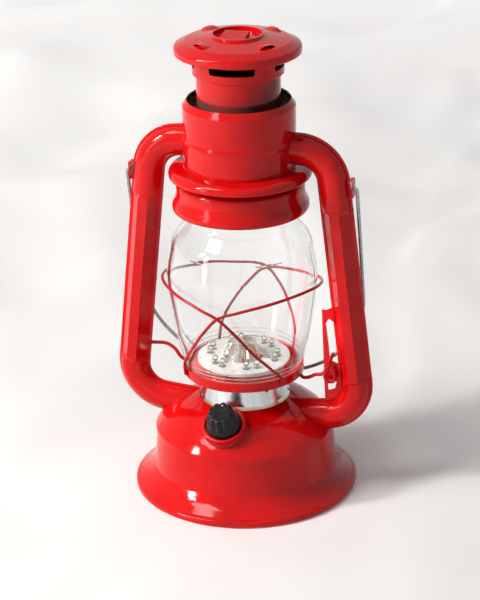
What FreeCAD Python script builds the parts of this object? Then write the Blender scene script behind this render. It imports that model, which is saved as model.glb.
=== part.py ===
import FreeCAD, Part
import math
import os

import Sketcher
from FreeCAD import Placement, Rotation, Vector

# Battery LED lantern in the tubular hurricane shape, in millimetres.
# Origin at the middle of the base's underside, +Z up, +X towards the tube with the lift bracket,
# -Y towards the dimmer knob.

# Driving dimensions: alias, value, meaning
SIZES = [
    ("wall", 0.8, "sheet metal"),
    ("fit_gap", 0.15, "air at a soldered or seated joint"),
    ("run_gap", 0.3, "air at a sliding joint"),
    ("shaft_gap", 0.05, "radial play of a turning pin"),

    ("base_radius", 75.0, "base over its hem"),
    ("hem_height", 4.4, "height of the rolled hem"),
    ("hem_width", 4.5, "flat ring under the hem"),
    ("flare_width", 13.0, "flare, from the hem to the upright wall"),
    ("crease_height", 15.8, "height of that crease"),
    ("wall_lean", 2.6, "lean of the upright wall"),
    ("skirt_wall", 24.8, "upright wall"),
    ("dome_top_radius", 29.5, "flat top of the dome"),
    ("dome_rise", 23.4, "dome above the skirt"),
    ("lead_hole_radius", 12.0, "hole for the leads in the dome's top"),

    ("tray_floor", 0.9, "underside of the bottom tray"),
    ("tray_sheet", 1.2, "tray and door thickness"),
    ("door_radius", 46.0, "battery door"),
    ("collar_height", 6.3, "tray collar above the tray"),
    ("collar_wall", 2.5, "tray collar thickness"),
    ("lug_angle", 28.0, "width of a bayonet lug"),
    ("lug_count", 3.0, "bayonet lugs"),
    ("door_turn", 40.0, "turn that frees the door"),
    ("boss_circle", 51.5, "screw bosses of the tray"),
    ("screw_radius", 1.1, "small screw shank"),
    ("coin_slot", 14.0, "coin slot in the door"),

    ("cell_radius", 7.25, "AA cell"),
    ("cell_length", 50.5, "AA cell over its nub"),
    ("cell_pitch", 15.2, "between cells"),
    ("cell_count", 4.0, "cells side by side"),
    ("holder_wall", 1.6, "battery holder plastic"),
    ("contact_sheet", 0.5, "contact plate thickness"),

    ("knob_lean", 31.0, "knob axis away from upright"),
    ("knob_radius", 11.8, "knob at its foot"),
    ("knob_taper", 3.3, "knob's top inside its foot"),
    ("knob_tall", 14.2, "knob height"),
    ("flute_count", 12.0, "flutes round the knob"),
    ("flute_radius", 1.7, "flute"),
    ("ring_radius", 14.6, "knurled ring"),
    ("ring_top", 7.2, "knurled ring above the dome"),
    ("knurl_count", 36.0, "grooves round the ring"),
    ("knurl_radius", 0.6, "groove"),
    ("shaft_radius", 2.95, "dimmer shaft"),
    ("bush_radius", 3.5, "threaded bush of the dimmer"),
    ("pot_radius", 8.0, "dimmer case"),
    ("pot_depth", 8.9, "dimmer case"),
    ("nut_width", 10.0, "dimmer nut across flats"),
    ("board_width", 24.0, "control board"),
    ("board_sheet", 1.6, "circuit board thickness"),
    ("lead_radius", 0.7, "insulated lead"),

    ("cone_inset", 0.3, "burner cone inside the dome's flat top"),
    ("cone_draft", 2.8, "burner cone's lean"),
    ("cone_tall", 16.4, "burner cone"),
    ("cone_sheet", 0.6, "burner cone metal"),
    ("column_radius", 20.0, "post under the LED board"),
    ("column_wall", 1.6, "post wall"),
    ("led_gap", 2.3, "LED board above the raised globe plate"),
    ("led_board_radius", 31.0, "LED board"),
    ("led_radius", 2.5, "5 mm LED"),
    ("led_tall", 6.0, "LED above the board"),
    ("led_circle", 22.8, "circle of LEDs"),
    ("led_pairs", 6.0, "pairs of LEDs"),
    ("led_spread", 18.0, "angle between the LEDs of a pair"),
    ("lens_radius", 14.0, "centre lens at its foot"),
    ("lens_tall", 10.0, "centre lens"),
    ("lens_sides", 14.0, "ribs of the centre lens"),
    ("lens_taper", 26.0, "lean of its sides"),

    ("plate_margin", 1.85, "globe plate outside the globe's foot"),
    ("plate_gap", 1.6, "globe plate above the burner cone"),
    ("plate_rim", 6.0, "height of that rim"),
    ("plate_floor", 1.2, "floor above the rim's lower edge"),
    ("lift_travel", 4.0, "rise of the globe plate"),
    ("glass", 1.8, "glass thickness"),
    ("globe_foot_radius", 38.2, "globe at its foot"),
    ("globe_waist_radius", 45.3, "globe a quarter of the way up"),
    ("globe_belly_radius", 50.4, "globe at its widest, before rounding"),
    ("globe_neck_radius", 34.4, "globe in the bell"),
    ("globe_tall", 131.4, "globe"),
    ("guard_wire", 1.0, "guard wire radius"),
    ("guard_air", 1.2, "guard wire off the globe's belly"),
    ("guard_tall", 68.0, "guard wire at its high side"),
    ("guard_front_drop", 10.4, "front crossing below the high side"),
    ("guard_back_drop", 16.0, "back crossing below the high side"),
    ("guard_front_end", 54.0, "angle of a wire's front end"),
    ("guard_back_end", 138.0, "angle of a wire's back end"),

    ("lift_wire_radius", 1.2, "lift wire"),
    ("lift_eye_inset", 1.75, "eye of the lift wire inside the tube's seam edge"),
    ("lift_eye_rise", 10.0, "eye of the lift wire above the globe plate"),
    ("bracket_sheet", 0.9, "lift bracket"),
    ("rivet_radius", 0.55, "bracket rivet"),

    ("tube_root", 0.5, "start of the tubes' run inside the canister's skin"),
    ("tube_rise", 14.8, "tubes above the canister's foot"),
    ("tube_top_run", 23.8, "upper bend's corner from the canister"),
    ("tube_low_run", 20.8, "lower bend's corner from the skirt"),
    ("tube_low_drop", 6.8, "lower bend's corner below the dome's top"),
    ("tube_buried", 35.4, "lower run inside the skirt before it is cut to the dome"),
    ("tube_fall", 5.3, "fall of the lower run"),
    ("tube_top_bend", 22.5, "upper bend"),
    ("tube_low_bend", 23.5, "lower bend"),
    ("tube_half", 9.3, "half width of the tube without its seam"),
    ("tube_ridge", 10.2, "depth of a half before its ridge is rounded"),
    ("seam_width", 1.6, "seam flange"),
    ("ridge_bend", 4.0, "rounding of the ridge"),

    ("canister_radius", 36.5, "canister"),
    ("hood_travel", 3.5, "rise of the hood"),
    ("brim_air", 1.1, "air between the raised hood and the canister"),
    ("canister_wall", 42.0, "canister up to its rim"),
    ("canister_rim", 4.1, "rim"),
    ("rim_width", 3.4, "rim, inwards"),
    ("bead", 0.5, "pressed bead"),
    ("bead_rise", 19.8, "middle of the bead above the canister's foot"),
    ("brim_width", 10.15, "brim"),
    ("brim_lip", 6.0, "depth of the brim's lip"),
    ("flue_gap", 9.4, "chimney inside the canister"),
    ("collar_step", 2.4, "vent collar outside the chimney"),
    ("chimney_shown", 17.0, "chimney between the canister and the vent collar"),
    ("chimney_lap", 2.7, "chimney inside the vent collar"),
    ("vent_rise", 5.2, "vents above the collar's lower edge"),
    ("vent_tall", 4.6, "vents"),
    ("vent_wide", 29.0, "vents, straight across"),
    ("vent_turn", 8.5, "first vent from the knob side"),
    ("cap_overhang", 11.4, "cap outside the vent collar"),
    ("cap_rise", 13.3, "cap's lower edge above the collar's"),
    ("cap_rim", 5.0, "cap's upright rim"),
    ("cap_slope_width", 7.1, "outer slope of the cap"),
    ("cap_slope_rise", 3.2, "outer slope of the cap"),
    ("crown_width", 16.8, "crown, from the crease to the ring"),
    ("crown_rise", 4.1, "crown with its ring"),
    ("grip_depth", 2.7, "floor inside the ring"),
    ("grip_tall", 1.5, "grip tab above the ring"),
    ("grip_width", 16.0, "grip tab"),
    ("louvre_inset", 4.3, "cap louvres inside the crease"),
    ("louvre_length", 11.0, "cap louvre"),
    ("louvre_height", 1.2, "cap louvre"),
    ("louvre_turn", 55.0, "first louvre from the knob side"),
    ("bell_margin", 8.2, "bell outside the globe's neck"),
    ("bell_lip", 2.2, "bell's lip"),
    ("bell_tall", 19.4, "bell"),
    ("spring_wire", 0.6, "hood spring wire radius"),
    ("spring_turns", 6.0, "hood spring"),
    ("spring_margin", 2.5, "hood spring's wire outside the chimney"),
    ("spring_rise", 6.8, "spring collar above the canister's foot"),
    ("spring_tall", 30.0, "room for the hood spring"),

    ("bail_drop", 23.5, "bail's pivots below the tubes' upper run"),
    ("bail_margin", 2.9, "bail leg outside the ears"),
    ("bail_bend", 70.0, "bail's corners"),
    ("bail_wire", 1.2, "bail wire radius"),
    ("bail_rest", 12.0, "bail away from hanging straight, to the back"),
    ("ear_stand", 1.2, "bail ear outside the tube's seam"),
    ("ear_width", 7.0, "bail ear"),
    ("ear_half", 6.0, "half height of a bail ear"),
]

# Sizes that follow: alias, formula, meaning
FOLLOWING = [
    ("crease_radius", "base_radius - flare_width", "where the flare meets the upright wall"),
    ("shoulder_radius", "crease_radius - wall_lean", "top of the upright wall"),
    ("shoulder_height", "crease_height + skirt_wall", "top edge of the skirt"),
    ("dome_span", "shoulder_radius - dome_top_radius", "dome from its flat top to its edge"),
    ("dome_bend", "1.739 * dome_span", "radius of the dome's curve"),
    ("dome_top_height", "shoulder_height + dome_rise", "edge of the dome's flat top"),
    ("knob_reach", "dome_top_radius + 0.4736 * dome_span", "knob axis, out from the middle"),
    ("knob_height", "dome_top_height - 0.3261 * dome_rise", "knob axis, above the base"),
    ("cone_foot_radius", "dome_top_radius - cone_inset", "burner cone above its lip"),
    ("cone_top_radius", "cone_foot_radius - cone_draft", "burner cone at its top"),
    ("cone_top_height", "dome_top_height + cone_tall", "top of the burner cone"),
    ("plate_radius", "globe_foot_radius + plate_margin", "globe plate"),
    ("plate_foot", "cone_top_height + plate_gap", "lower edge of the plate's rim"),
    ("globe_seat", "plate_foot + plate_floor + wall", "floor of the globe plate"),
    ("led_height", "globe_seat + lift_travel + led_gap", "underside of the LED board"),
    ("globe_top", "globe_seat + globe_tall", "top of the globe"),
    ("guard_radius", "globe_belly_radius + guard_wire + guard_air", "guard wire round the belly"),
    ("guard_high", "plate_foot + guard_tall", "guard wire at its high side"),
    ("guard_cross", "guard_high - guard_front_drop", "front crossing"),
    ("guard_cross_back", "guard_high - guard_back_drop", "back crossing"),
    ("bell_top", "globe_top + wall + 0.4", "bell's roof"),
    ("bell_foot", "bell_top - bell_tall", "bell's lower edge"),
    ("bell_radius", "globe_neck_radius + bell_margin", "bell"),
    ("bell_lip_radius", "bell_radius + bell_lip", "bell's lip"),
    ("canister_foot", "bell_top + lift_travel + hood_travel + brim_air", "underside of the canister"),
    ("canister_shoulder", "canister_foot + canister_wall", "where its rim turns in"),
    ("canister_top", "canister_shoulder + canister_rim", "top of its rim"),
    ("canister_mouth", "canister_radius - rim_width", "mouth of the rim"),
    ("bead_height", "canister_foot + bead_rise", "middle of the bead"),
    ("brim_radius", "canister_radius + brim_width", "brim"),
    ("chimney_radius", "canister_radius - flue_gap", "chimney"),
    ("spring_radius", "chimney_radius + spring_margin", "hood spring, to the wire's middle"),
    ("spring_foot", "canister_foot + spring_rise", "top of the spring collar"),
    ("spring_head", "spring_foot + spring_tall", "underside of the spring stop"),
    ("collar_radius", "chimney_radius + collar_step", "vent collar"),
    ("collar_foot", "canister_top + chimney_shown", "vent collar's lower edge"),
    ("chimney_top", "collar_foot + chimney_lap", "top of the chimney tube"),
    ("vent_foot", "collar_foot + vent_rise", "lower edge of the vents"),
    ("cap_radius", "collar_radius + cap_overhang", "cap"),
    ("cap_foot", "collar_foot + cap_rise", "cap's lower edge"),
    ("cap_lip_top", "cap_foot + cap_rim", "top of the cap's upright rim"),
    ("cap_crease_radius", "cap_radius - cap_slope_width", "crease of the cap"),
    ("cap_crease_height", "cap_lip_top + cap_slope_rise", "crease of the cap"),
    ("grip_ring_radius", "cap_crease_radius - crown_width", "ring round the pinch grip"),
    ("grip_ring_top", "cap_crease_height + crown_rise", "top of that ring"),
    ("grip_floor", "grip_ring_top - grip_depth", "floor inside the ring"),
    ("grip_top", "grip_ring_top + grip_tall", "top of the grip tab"),
    ("louvre_circle", "cap_crease_radius - louvre_inset", "cap louvres"),
    ("tube_start", "canister_radius - tube_root", "start of the tubes' run"),
    ("tube_height", "canister_foot + tube_rise", "tubes at the canister"),
    ("tube_top_corner", "canister_radius + tube_top_run", "upper bend's corner"),
    ("tube_low_corner", "shoulder_radius + tube_low_run", "lower bend's corner"),
    ("tube_low_height", "dome_top_height - tube_low_drop", "lower bend's corner"),
    ("tube_end", "shoulder_radius - tube_buried", "end of the lower run"),
    ("tube_end_height", "tube_low_height - tube_fall", "height of that end"),
    ("bail_pivot", "tube_height - bail_drop", "height of the bail's pivots"),
    ("bail_length", "bail_pivot - dome_top_height", "pivot to the far end of the bail"),
    ("lift_eye_height", "plate_foot + lift_eye_rise", "eye of the lift wire"),
]

DOC = FreeCAD.newDocument("lantern")
FINISHED = []


class Size:
    """A number that remembers the sheet expression it came from."""

    def __init__(self, value, text):
        self.value = float(value)
        self.text = text

    def __float__(self):
        return self.value

    def __add__(self, other):
        other = size(other)
        return Size(self.value + other.value, f"({self.text} + {other.text})")

    def __radd__(self, other):
        return size(other) + self

    def __sub__(self, other):
        other = size(other)
        return Size(self.value - other.value, f"({self.text} - {other.text})")

    def __rsub__(self, other):
        return size(other) - self

    def __mul__(self, other):
        other = size(other)
        return Size(self.value * other.value, f"({self.text} * {other.text})")

    def __rmul__(self, other):
        return size(other) * self

    def __truediv__(self, other):
        other = size(other)
        return Size(self.value / other.value, f"({self.text} / {other.text})")

    def __rtruediv__(self, other):
        return size(other) / self

    def __neg__(self):
        return Size(-self.value, f"(-1 * {self.text})")


def size(thing):
    """A plain number joins an expression as itself."""
    return thing if isinstance(thing, Size) else Size(thing, f"{float(thing):.6f}")


def cosine(angle):
    """Cosine of an angle in degrees, kept as an expression."""
    angle = size(angle)
    return Size(math.cos(math.radians(angle.value)), f"cos({angle.text})")


def sine(angle):
    """Sine of an angle in degrees, kept as an expression."""
    angle = size(angle)
    return Size(math.sin(math.radians(angle.value)), f"sin({angle.text})")


class Sheet:
    """The sizes, each read as an attribute."""

    def __init__(self, driving, following):
        self.table = DOC.addObject("Spreadsheet::Sheet", "dims")
        rows = [(alias, str(value), meaning) for alias, value, meaning in driving]
        rows += [(alias, "=" + formula, meaning) for alias, formula, meaning in following]
        for row, (alias, content, meaning) in enumerate(rows, start=1):
            self.table.set(f"A{row}", meaning)
            self.table.setAlias(f"B{row}", alias)
            self.table.set(f"B{row}", content)
        DOC.recompute()
        self.values = {alias: float(self.table.get(alias)) for alias, _, _ in rows}

    def __getattr__(self, alias):
        return Size(self.values[alias], f"dims.{alias}")


D = Sheet(SIZES, FOLLOWING)


# Drawing helpers

def bind(thing, field, amount):
    """Tie a property to the sheet, or set it where the amount is a plain number."""
    thing.setExpression(field, size(amount).text)


def new_body(label):
    body = DOC.addObject("PartDesign::Body", label)
    body.Label = label
    return body


def origin_part(body, role):
    return next(part for part in body.Origin.OriginFeatures if part.Role == role)


def hold(sketch, geometry, vertex, x, y):
    """Place one sketch vertex by its distances from the sketch's origin."""
    for kind, axis, amount in (("DistanceX", -2, x), ("DistanceY", -1, y)):
        if not isinstance(amount, Size) and amount == 0:
            sketch.addConstraint(Sketcher.Constraint("PointOnObject", geometry, vertex, axis))
            continue
        number = sketch.addConstraint(
            Sketcher.Constraint(kind, -1, 1, geometry, vertex, float(amount)))
        if isinstance(amount, Size):
            sketch.setExpression(f"Constraints[{number}]", amount.text)


def corner_arc(before, corner, after, radius):
    """Where a rounded corner starts and ends, its middle, and whether it turns left."""
    here = Vector(*corner, 0)
    back = (Vector(*before, 0) - here).normalize()
    ahead = (Vector(*after, 0) - here).normalize()
    half = back.getAngle(ahead) / 2
    reach = radius / math.tan(half)
    middle = here + (back + ahead).normalize() * (radius / math.sin(half))
    turns_left = (back * -1).cross(ahead).z > 0
    return here + back * reach, here + ahead * reach, middle, turns_left


def draw(sketch, corners, closed=True):
    """Draw straight runs through the corners (x, y) and round those given as (x, y, radius)."""
    count = len(corners)
    places = [(float(corner[0]), float(corner[1])) for corner in corners]
    rounds = [corner[2] if len(corner) > 2 else None for corner in corners]
    enters, leaves, arcs = {}, {}, {}
    for k in range(count):
        enters[k] = leaves[k] = Vector(*places[k], 0)
        if rounds[k] is not None:
            start, end, middle, left = corner_arc(
                places[k - 1], places[k], places[(k + 1) % count], float(rounds[k]))
            enters[k], leaves[k] = start, end
            first, last = (start, end) if left else (end, start)
            angle = math.atan2(first.y - middle.y, first.x - middle.x)
            stop = math.atan2(last.y - middle.y, last.x - middle.x)
            stop += 2 * math.pi if stop < angle else 0
            circle = Part.Circle(middle, Vector(0, 0, 1), float(rounds[k]))
            arcs[k] = (sketch.addGeometry(Part.ArcOfCircle(circle, angle, stop)), left)
    runs = count if closed else count - 1
    lines = {k: sketch.addGeometry(Part.LineSegment(leaves[k], enters[(k + 1) % count]))
             for k in range(runs)}
    for k in range(count):
        before = lines.get((k - 1) % count if closed else k - 1)
        after = lines.get(k)
        x, y = corners[k][0], corners[k][1]
        if rounds[k] is None:
            if before is not None and after is not None:
                sketch.addConstraint(Sketcher.Constraint("Coincident", before, 2, after, 1))
            hold(sketch, *((after, 1) if after is not None else (before, 2)), x, y)
            continue
        arc, left = arcs[k]
        mark = sketch.addGeometry(Part.Point(Vector(*places[k], 0)), True)
        sketch.addConstraint(Sketcher.Constraint("Tangent", before, 2, arc, 1 if left else 2))
        sketch.addConstraint(Sketcher.Constraint("Tangent", arc, 2 if left else 1, after, 1))
        sketch.addConstraint(Sketcher.Constraint("PointOnObject", mark, 1, before))
        sketch.addConstraint(Sketcher.Constraint("PointOnObject", mark, 1, after))
        hold(sketch, mark, 1, x, y)
        number = sketch.addConstraint(Sketcher.Constraint("Radius", arc, float(rounds[k])))
        if isinstance(rounds[k], Size):
            sketch.setExpression(f"Constraints[{number}]", rounds[k].text)


def new_sketch(body, name, plane="XZ_Plane", offset=None):
    sketch = body.newObject("Sketcher::SketchObject", name)
    sketch.AttachmentSupport = (origin_part(body, plane), [""])
    sketch.MapMode = "FlatFace"
    if offset is not None:
        sketch.AttachmentOffset = Placement(Vector(0, 0, float(offset)), Rotation())
        bind(sketch, "AttachmentOffset.Base.z", offset)
    return sketch


def outline(body, name, corners, plane="XZ_Plane", offset=None, closed=True):
    sketch = new_sketch(body, name, plane, offset)
    draw(sketch, corners, closed)
    return sketch


def ring(body, name, x, y, radius, plane="XY_Plane", offset=None):
    """A sketch that holds one circle."""
    sketch = new_sketch(body, name, plane, offset)
    middle = Vector(float(x), float(y), 0)
    circle = sketch.addGeometry(Part.Circle(middle, Vector(0, 0, 1), float(radius)))
    hold(sketch, circle, 3, x, y)
    number = sketch.addConstraint(Sketcher.Constraint("Radius", circle, float(radius)))
    if isinstance(radius, Size):
        sketch.setExpression(f"Constraints[{number}]", radius.text)
    return sketch


def turn(body, name, corners, angle=360):
    """Revolve an outline of (radius, height) corners about the upright axis, from +X on."""
    sketch = outline(body, name + "Profile", corners)
    spin = body.newObject("PartDesign::Revolution", name)
    spin.Profile = sketch
    spin.ReferenceAxis = (sketch, ["V_Axis"])
    spin.Angle = float(angle)
    if isinstance(angle, Size):
        bind(spin, "Angle", angle)
    return spin


def turned(label, corners):
    """A sub-part whose main form is one turned outline."""
    body = new_body(label)
    turn(body, "Turned", corners)
    return body


def pad(body, name, sketch, length, both_ways=False, backwards=False, cut=False):
    feature = body.newObject("PartDesign::Pocket" if cut else "PartDesign::Pad", name)
    feature.Profile = sketch
    bind(feature, "Length", length)
    feature.Midplane = both_ways
    feature.Reversed = backwards
    return feature


def sheet_metal(points, inward):
    """Closed outline of a bent sheet. Each point is (x, y, step_x, step_y[, outer, inner radius]):
    the inner skin lies one thickness away along the steps."""
    outer = []
    inner = []
    for x, y, step_x, step_y, *bend in points:
        outer.append((x, y, *bend[:1]))
        inner.append((x + inward * step_x, y + inward * step_y, *bend[1:2]))
    return outer + inner[::-1]


def drill(body, name, radius, height, place, turn_about=Vector(0, 0, 1), angle=0):
    """Take a cylinder away. The place is the middle of its first end."""
    cutter = body.newObject("PartDesign::SubtractiveCylinder", name)
    bind(cutter, "Radius", radius)
    bind(cutter, "Height", height)
    cutter.Placement = Placement(Vector(*map(float, place)), Rotation(turn_about, float(angle) or 1e-9))
    for letter, amount in zip("xyz", place):
        bind(cutter, f"Placement.Base.{letter}", amount)
    if isinstance(angle, Size):
        bind(cutter, "Placement.Rotation.Angle", angle)
    return cutter


def repeat(body, name, feature, count, angle=360):
    """Copy the last feature round the upright axis."""
    pattern = body.newObject("PartDesign::PolarPattern", name)
    pattern.Originals = [feature]
    pattern.Axis = (origin_part(body, "Z_Axis"), [""])
    pattern.Angle = angle
    pattern.Occurrences = int(float(count))
    bind(pattern, "Occurrences", count)
    body.Tip = pattern
    return pattern


def cylinder(label, radius, height, place, turn_about=Vector(0, 0, 1), angle=0):
    """A plain cylinder, for booleans between objects."""
    tool = DOC.addObject("Part::Cylinder", label)
    bind(tool, "Radius", radius)
    bind(tool, "Height", height)
    tool.Placement = Placement(Vector(*map(float, place)), Rotation(turn_about, float(angle)))
    for letter, amount in zip("xyz", place):
        bind(tool, f"Placement.Base.{letter}", amount)
    return tool


def joined(kind, label, base, tool):
    result = DOC.addObject(f"Part::{kind}", label.replace(" ", "_"))
    result.Label = label
    result.Base = base
    result.Tool = tool
    return result


def finish(thing):
    """Count an object as a sub-part that is written out."""
    FINISHED.append(thing)
    return thing


def feature(label, shape, placement=None):
    """A sub-part whose shape the sheet alone can't drive."""
    thing = DOC.addObject("Part::Feature", label)
    thing.Label = label
    thing.Shape = shape
    if placement is not None:
        thing.Placement = placement
    return finish(thing)


# Bent wire

def biarc(start, start_way, end, end_way):
    """Two tangent arcs between two points that are passed in known directions."""
    gap = end - start
    ways = start_way + end_way
    spread = 2 * (1 - start_way.dot(end_way))
    along = gap.dot(ways)
    if spread < 1e-6:
        reach = gap.dot(gap) / (2 * along)
    else:
        reach = (-along + math.sqrt(along * along + spread * gap.dot(gap))) / spread
    first = start + start_way * reach
    second = end - end_way * reach
    joint = (first + second) * 0.5
    return [arc_through(start, first, joint), arc_through(joint, second, end)]


def arc_through(start, corner, end):
    """The arc that is tangent to both legs of a corner with equal legs."""
    one = (corner - start).normalize()
    two = (end - corner).normalize()
    if one.getAngle(two) < 1e-4:
        return Part.LineSegment(start, end).toShape()
    weight = math.cos(one.getAngle(two) / 2)
    middle = (start + corner * (2 * weight) + end) * (1 / (2 + 2 * weight))
    return Part.Arc(start, middle, end).toShape()


def smooth_path(points):
    """A path of tangent arcs through every point."""
    ways = []
    for k in range(len(points)):
        before = points[max(k - 1, 0)]
        after = points[min(k + 1, len(points) - 1)]
        ways.append((after - before).normalize())
    edges = []
    for k in range(len(points) - 1):
        edges += biarc(points[k], ways[k], points[k + 1], ways[k + 1])
    return Part.Wire(edges)


def bent_path(points, bend):
    """Straight runs joined by tangent arcs of one radius, smaller where a run is short."""
    edges = []
    last = points[0]
    for before, corner, after in zip(points, points[1:], points[2:]):
        back = (before - corner).normalize()
        ahead = (after - corner).normalize()
        half = back.getAngle(ahead) / 2
        room = 0.48 * min((before - corner).Length, (after - corner).Length)
        reach = min(bend / math.tan(half), room)
        enter = corner + back * reach
        leave = corner + ahead * reach
        edges.append(Part.LineSegment(last, enter).toShape())
        edges.append(arc_through(enter, corner, leave))
        last = leave
    edges.append(Part.LineSegment(last, points[-1]).toShape())
    return Part.Wire(edges)


def wire_solid(path, radius):
    """A round bar along a path."""
    start = path.OrderedVertexes[0].Point
    way = path.OrderedEdges[0].tangentAt(path.OrderedEdges[0].FirstParameter)
    section = Part.Wire([Part.Circle(start, way, radius).toShape()])
    return path.makePipeShell([section], True, False)


# Base

def dome_points(grow=0.0):
    """Outer skin of the dome, from its bead to its flat top."""
    return [
        (D.shoulder_radius + D.wall + 0.1 + grow, D.shoulder_height - 1.0),
        (D.shoulder_radius + D.wall + 0.1 + grow, D.shoulder_height + 2.0 + grow, 1.4),
        (D.dome_top_radius + 0.6288 * D.dome_span + grow,
         D.shoulder_height + 0.7308 * D.dome_rise + grow, D.dome_bend),
        (D.dome_top_radius + grow, D.dome_top_height + grow, 2.0),
    ]


def base_skirt():
    steps = [
        (D.base_radius - D.hem_width, 0, 0, 1),
        (D.base_radius, 0, -1, 1, 1.8, 1.0),
        (D.base_radius, D.hem_height - 0.2, -1, -0.4, 2.0, 1.2),
        (D.base_radius - 2.8, D.hem_height + 1.2, -0.6, -0.9, 1.2, 2.0),
        (D.crease_radius + 4.0, D.crease_height - 5.4, -0.72, -0.72, 20.0, 20.8),
        (D.crease_radius, D.crease_height, -0.95, -0.3),
        (D.shoulder_radius, D.shoulder_height, -1, 0),
    ]
    finish(turned("base_skirt", sheet_metal(steps, D.wall)))


def base_dome():
    points = dome_points()
    steps = [
        (*points[0][:2], -1, 0),
        (*points[1][:2], -1, -0.4, 1.4, 0.6),
        (*points[2][:2], -0.6, -0.8, D.dome_bend, D.dome_bend - D.wall),
        (*points[3][:2], -0.15, -1, 2.0, 1.2),
        (D.lead_hole_radius, D.dome_top_height + 0.6, 0, -1),
    ]
    body = turned("base_dome", sheet_metal(steps, D.wall))
    drill(body, "BushHole", D.bush_radius + 0.1, 12.0,
          (0, -D.knob_reach + 5.0 * sine(D.knob_lean), D.knob_height - 5.0 * cosine(D.knob_lean)),
          Vector(1, 0, 0), D.knob_lean)
    finish(body)


def dome_envelope():
    """The solid that pieces standing on the dome are cut with."""
    points = dome_points(D.fit_gap)
    return turned("dome_envelope", [(0, D.shoulder_height - 4.0),
                                    (points[0][0], D.shoulder_height - 4.0),
                                    *points[1:], (0, D.dome_top_height + D.fit_gap + 0.6)])


def tray_levels():
    """Tray's upper face, top of its collar, foot of the ledge and foot of the door's lugs."""
    top = D.tray_floor + D.tray_sheet
    ledge = top + D.collar_height - 3.2
    return top, top + D.collar_height, ledge, ledge + D.tray_sheet + 0.4


def bottom_tray():
    top, rim, ledge, _ = tray_levels()
    inner = D.door_radius + D.run_gap
    edge = D.base_radius - D.wall - 1.2
    body = turned("bottom_tray", [
        (inner, D.tray_floor),
        (edge, D.tray_floor),
        (edge, top),
        (inner + D.collar_wall, top),
        (inner + D.collar_wall, rim),
        (inner, rim),
    ])
    shelf = turn(body, "Ledge", [
        (inner - 1.7, ledge),
        (inner + 1.0, ledge),
        (inner + 1.0, ledge + D.tray_sheet),
        (inner - 1.7, ledge + D.tray_sheet),
    ], 360 / D.lug_count - D.lug_angle - 6.0)
    repeat(body, "Ledges", shelf, D.lug_count)
    post = pad(body, "Boss", ring(body, "BossProfile", D.boss_circle, 0, 3.2, offset=top - 0.2),
               D.collar_height + 0.2)
    repeat(body, "Bosses", post, 4)
    hole = drill(body, "BossHole", D.screw_radius + D.shaft_gap, D.collar_height,
                 (D.boss_circle, 0, top + 0.4))
    repeat(body, "BossHoles", hole, 4)
    finish(body)


def battery_door():
    top, _, _, lug = tray_levels()
    skirt = D.door_radius - 1.8
    body = turned("battery_door", [
        (0, D.tray_floor),
        (D.door_radius, D.tray_floor),
        (D.door_radius, top),
        (skirt, top),
        (skirt, lug + D.tray_sheet),
        (skirt - 1.0, lug + D.tray_sheet),
        (skirt - 1.0, top),
        (9.0, top),
        (9.0, top + 1.3),
        (0, top + 1.3),
    ])
    tab = turn(body, "Lug", [
        (skirt - 0.5, lug),
        (D.door_radius - 0.1, lug),
        (D.door_radius - 0.1, lug + D.tray_sheet),
        (skirt - 0.5, lug + D.tray_sheet),
    ], D.lug_angle)
    repeat(body, "Lugs", tab, D.lug_count)
    half = D.coin_slot / 2
    slot = outline(body, "SlotProfile", [(-half, -1.1), (half, -1.1), (half, 1.1), (-half, 1.1)],
                   "XY_Plane", D.tray_floor - 0.1)
    pad(body, "CoinSlot", slot, 1.7, backwards=True, cut=True)
    locked = D.door_turn - D.lug_angle - 3.0
    body.Placement = Placement(Vector(), Rotation(Vector(0, 0, 1), float(locked)))
    bind(body, "Placement.Rotation.Angle", locked)
    finish(body)


def holder_sizes():
    """Seat height, inner half sizes and inner depth of the battery holder."""
    _, rim, _, _ = tray_levels()
    return (rim + 0.05, D.cell_pitch * D.cell_count / 2 + 0.4,
            D.cell_length / 2 + D.contact_sheet + 0.6, 2 * D.cell_radius + 1.3)


def rectangle(half_x, half_y):
    return [(-half_x, -half_y), (half_x, -half_y), (half_x, half_y), (-half_x, half_y)]


def battery_holder():
    seat, half_x, half_y, deep = holder_sizes()
    body = new_body("battery_holder")
    pad(body, "Flange", ring(body, "FlangeProfile", 0, 0, D.boss_circle + 3.0, offset=seat),
        D.holder_wall)
    outer = outline(body, "BoxProfile", rectangle(half_x + D.holder_wall, half_y + D.holder_wall),
                    "XY_Plane", seat)
    pad(body, "Box", outer, deep + D.holder_wall)
    inner = outline(body, "BayProfile", rectangle(half_x, half_y), "XY_Plane", seat)
    pad(body, "Bay", inner, deep, backwards=True, cut=True)
    hole = drill(body, "ScrewHole", D.screw_radius + 0.1, 2 * D.holder_wall,
                 (D.boss_circle, 0, seat - 0.5))
    repeat(body, "ScrewHoles", hole, 4)
    finish(body)


def round_head_screw(shank_radius, shank_length, head_radius, head_height):
    """A screw with its head's underside at the origin, pointing down."""
    shank = Part.makeCylinder(shank_radius, shank_length + 0.2, Vector(0, 0, -shank_length))
    head = Part.makeCylinder(head_radius, head_height)
    head = head.makeFillet(head_height * 0.6, [head.Edges[0]])
    slot = Part.makeBox(2 * head_radius, 0.5, 0.6, Vector(-head_radius, -0.25, head_height - 0.5))
    return head.fuse(shank).cut(slot).removeSplitter()


def round_copies(shape, radius, height, count, first=0.0):
    """Copies of a shape on a circle about the upright axis."""
    copies = []
    for k in range(count):
        angle = first + 360.0 / count * k
        copy = shape.copy()
        copy.Placement = Placement(Vector(0, 0, 0), Rotation(Vector(0, 0, 1), angle)).multiply(
            Placement(Vector(radius, 0, height), Rotation()))
        copies.append(copy)
    return copies


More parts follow.
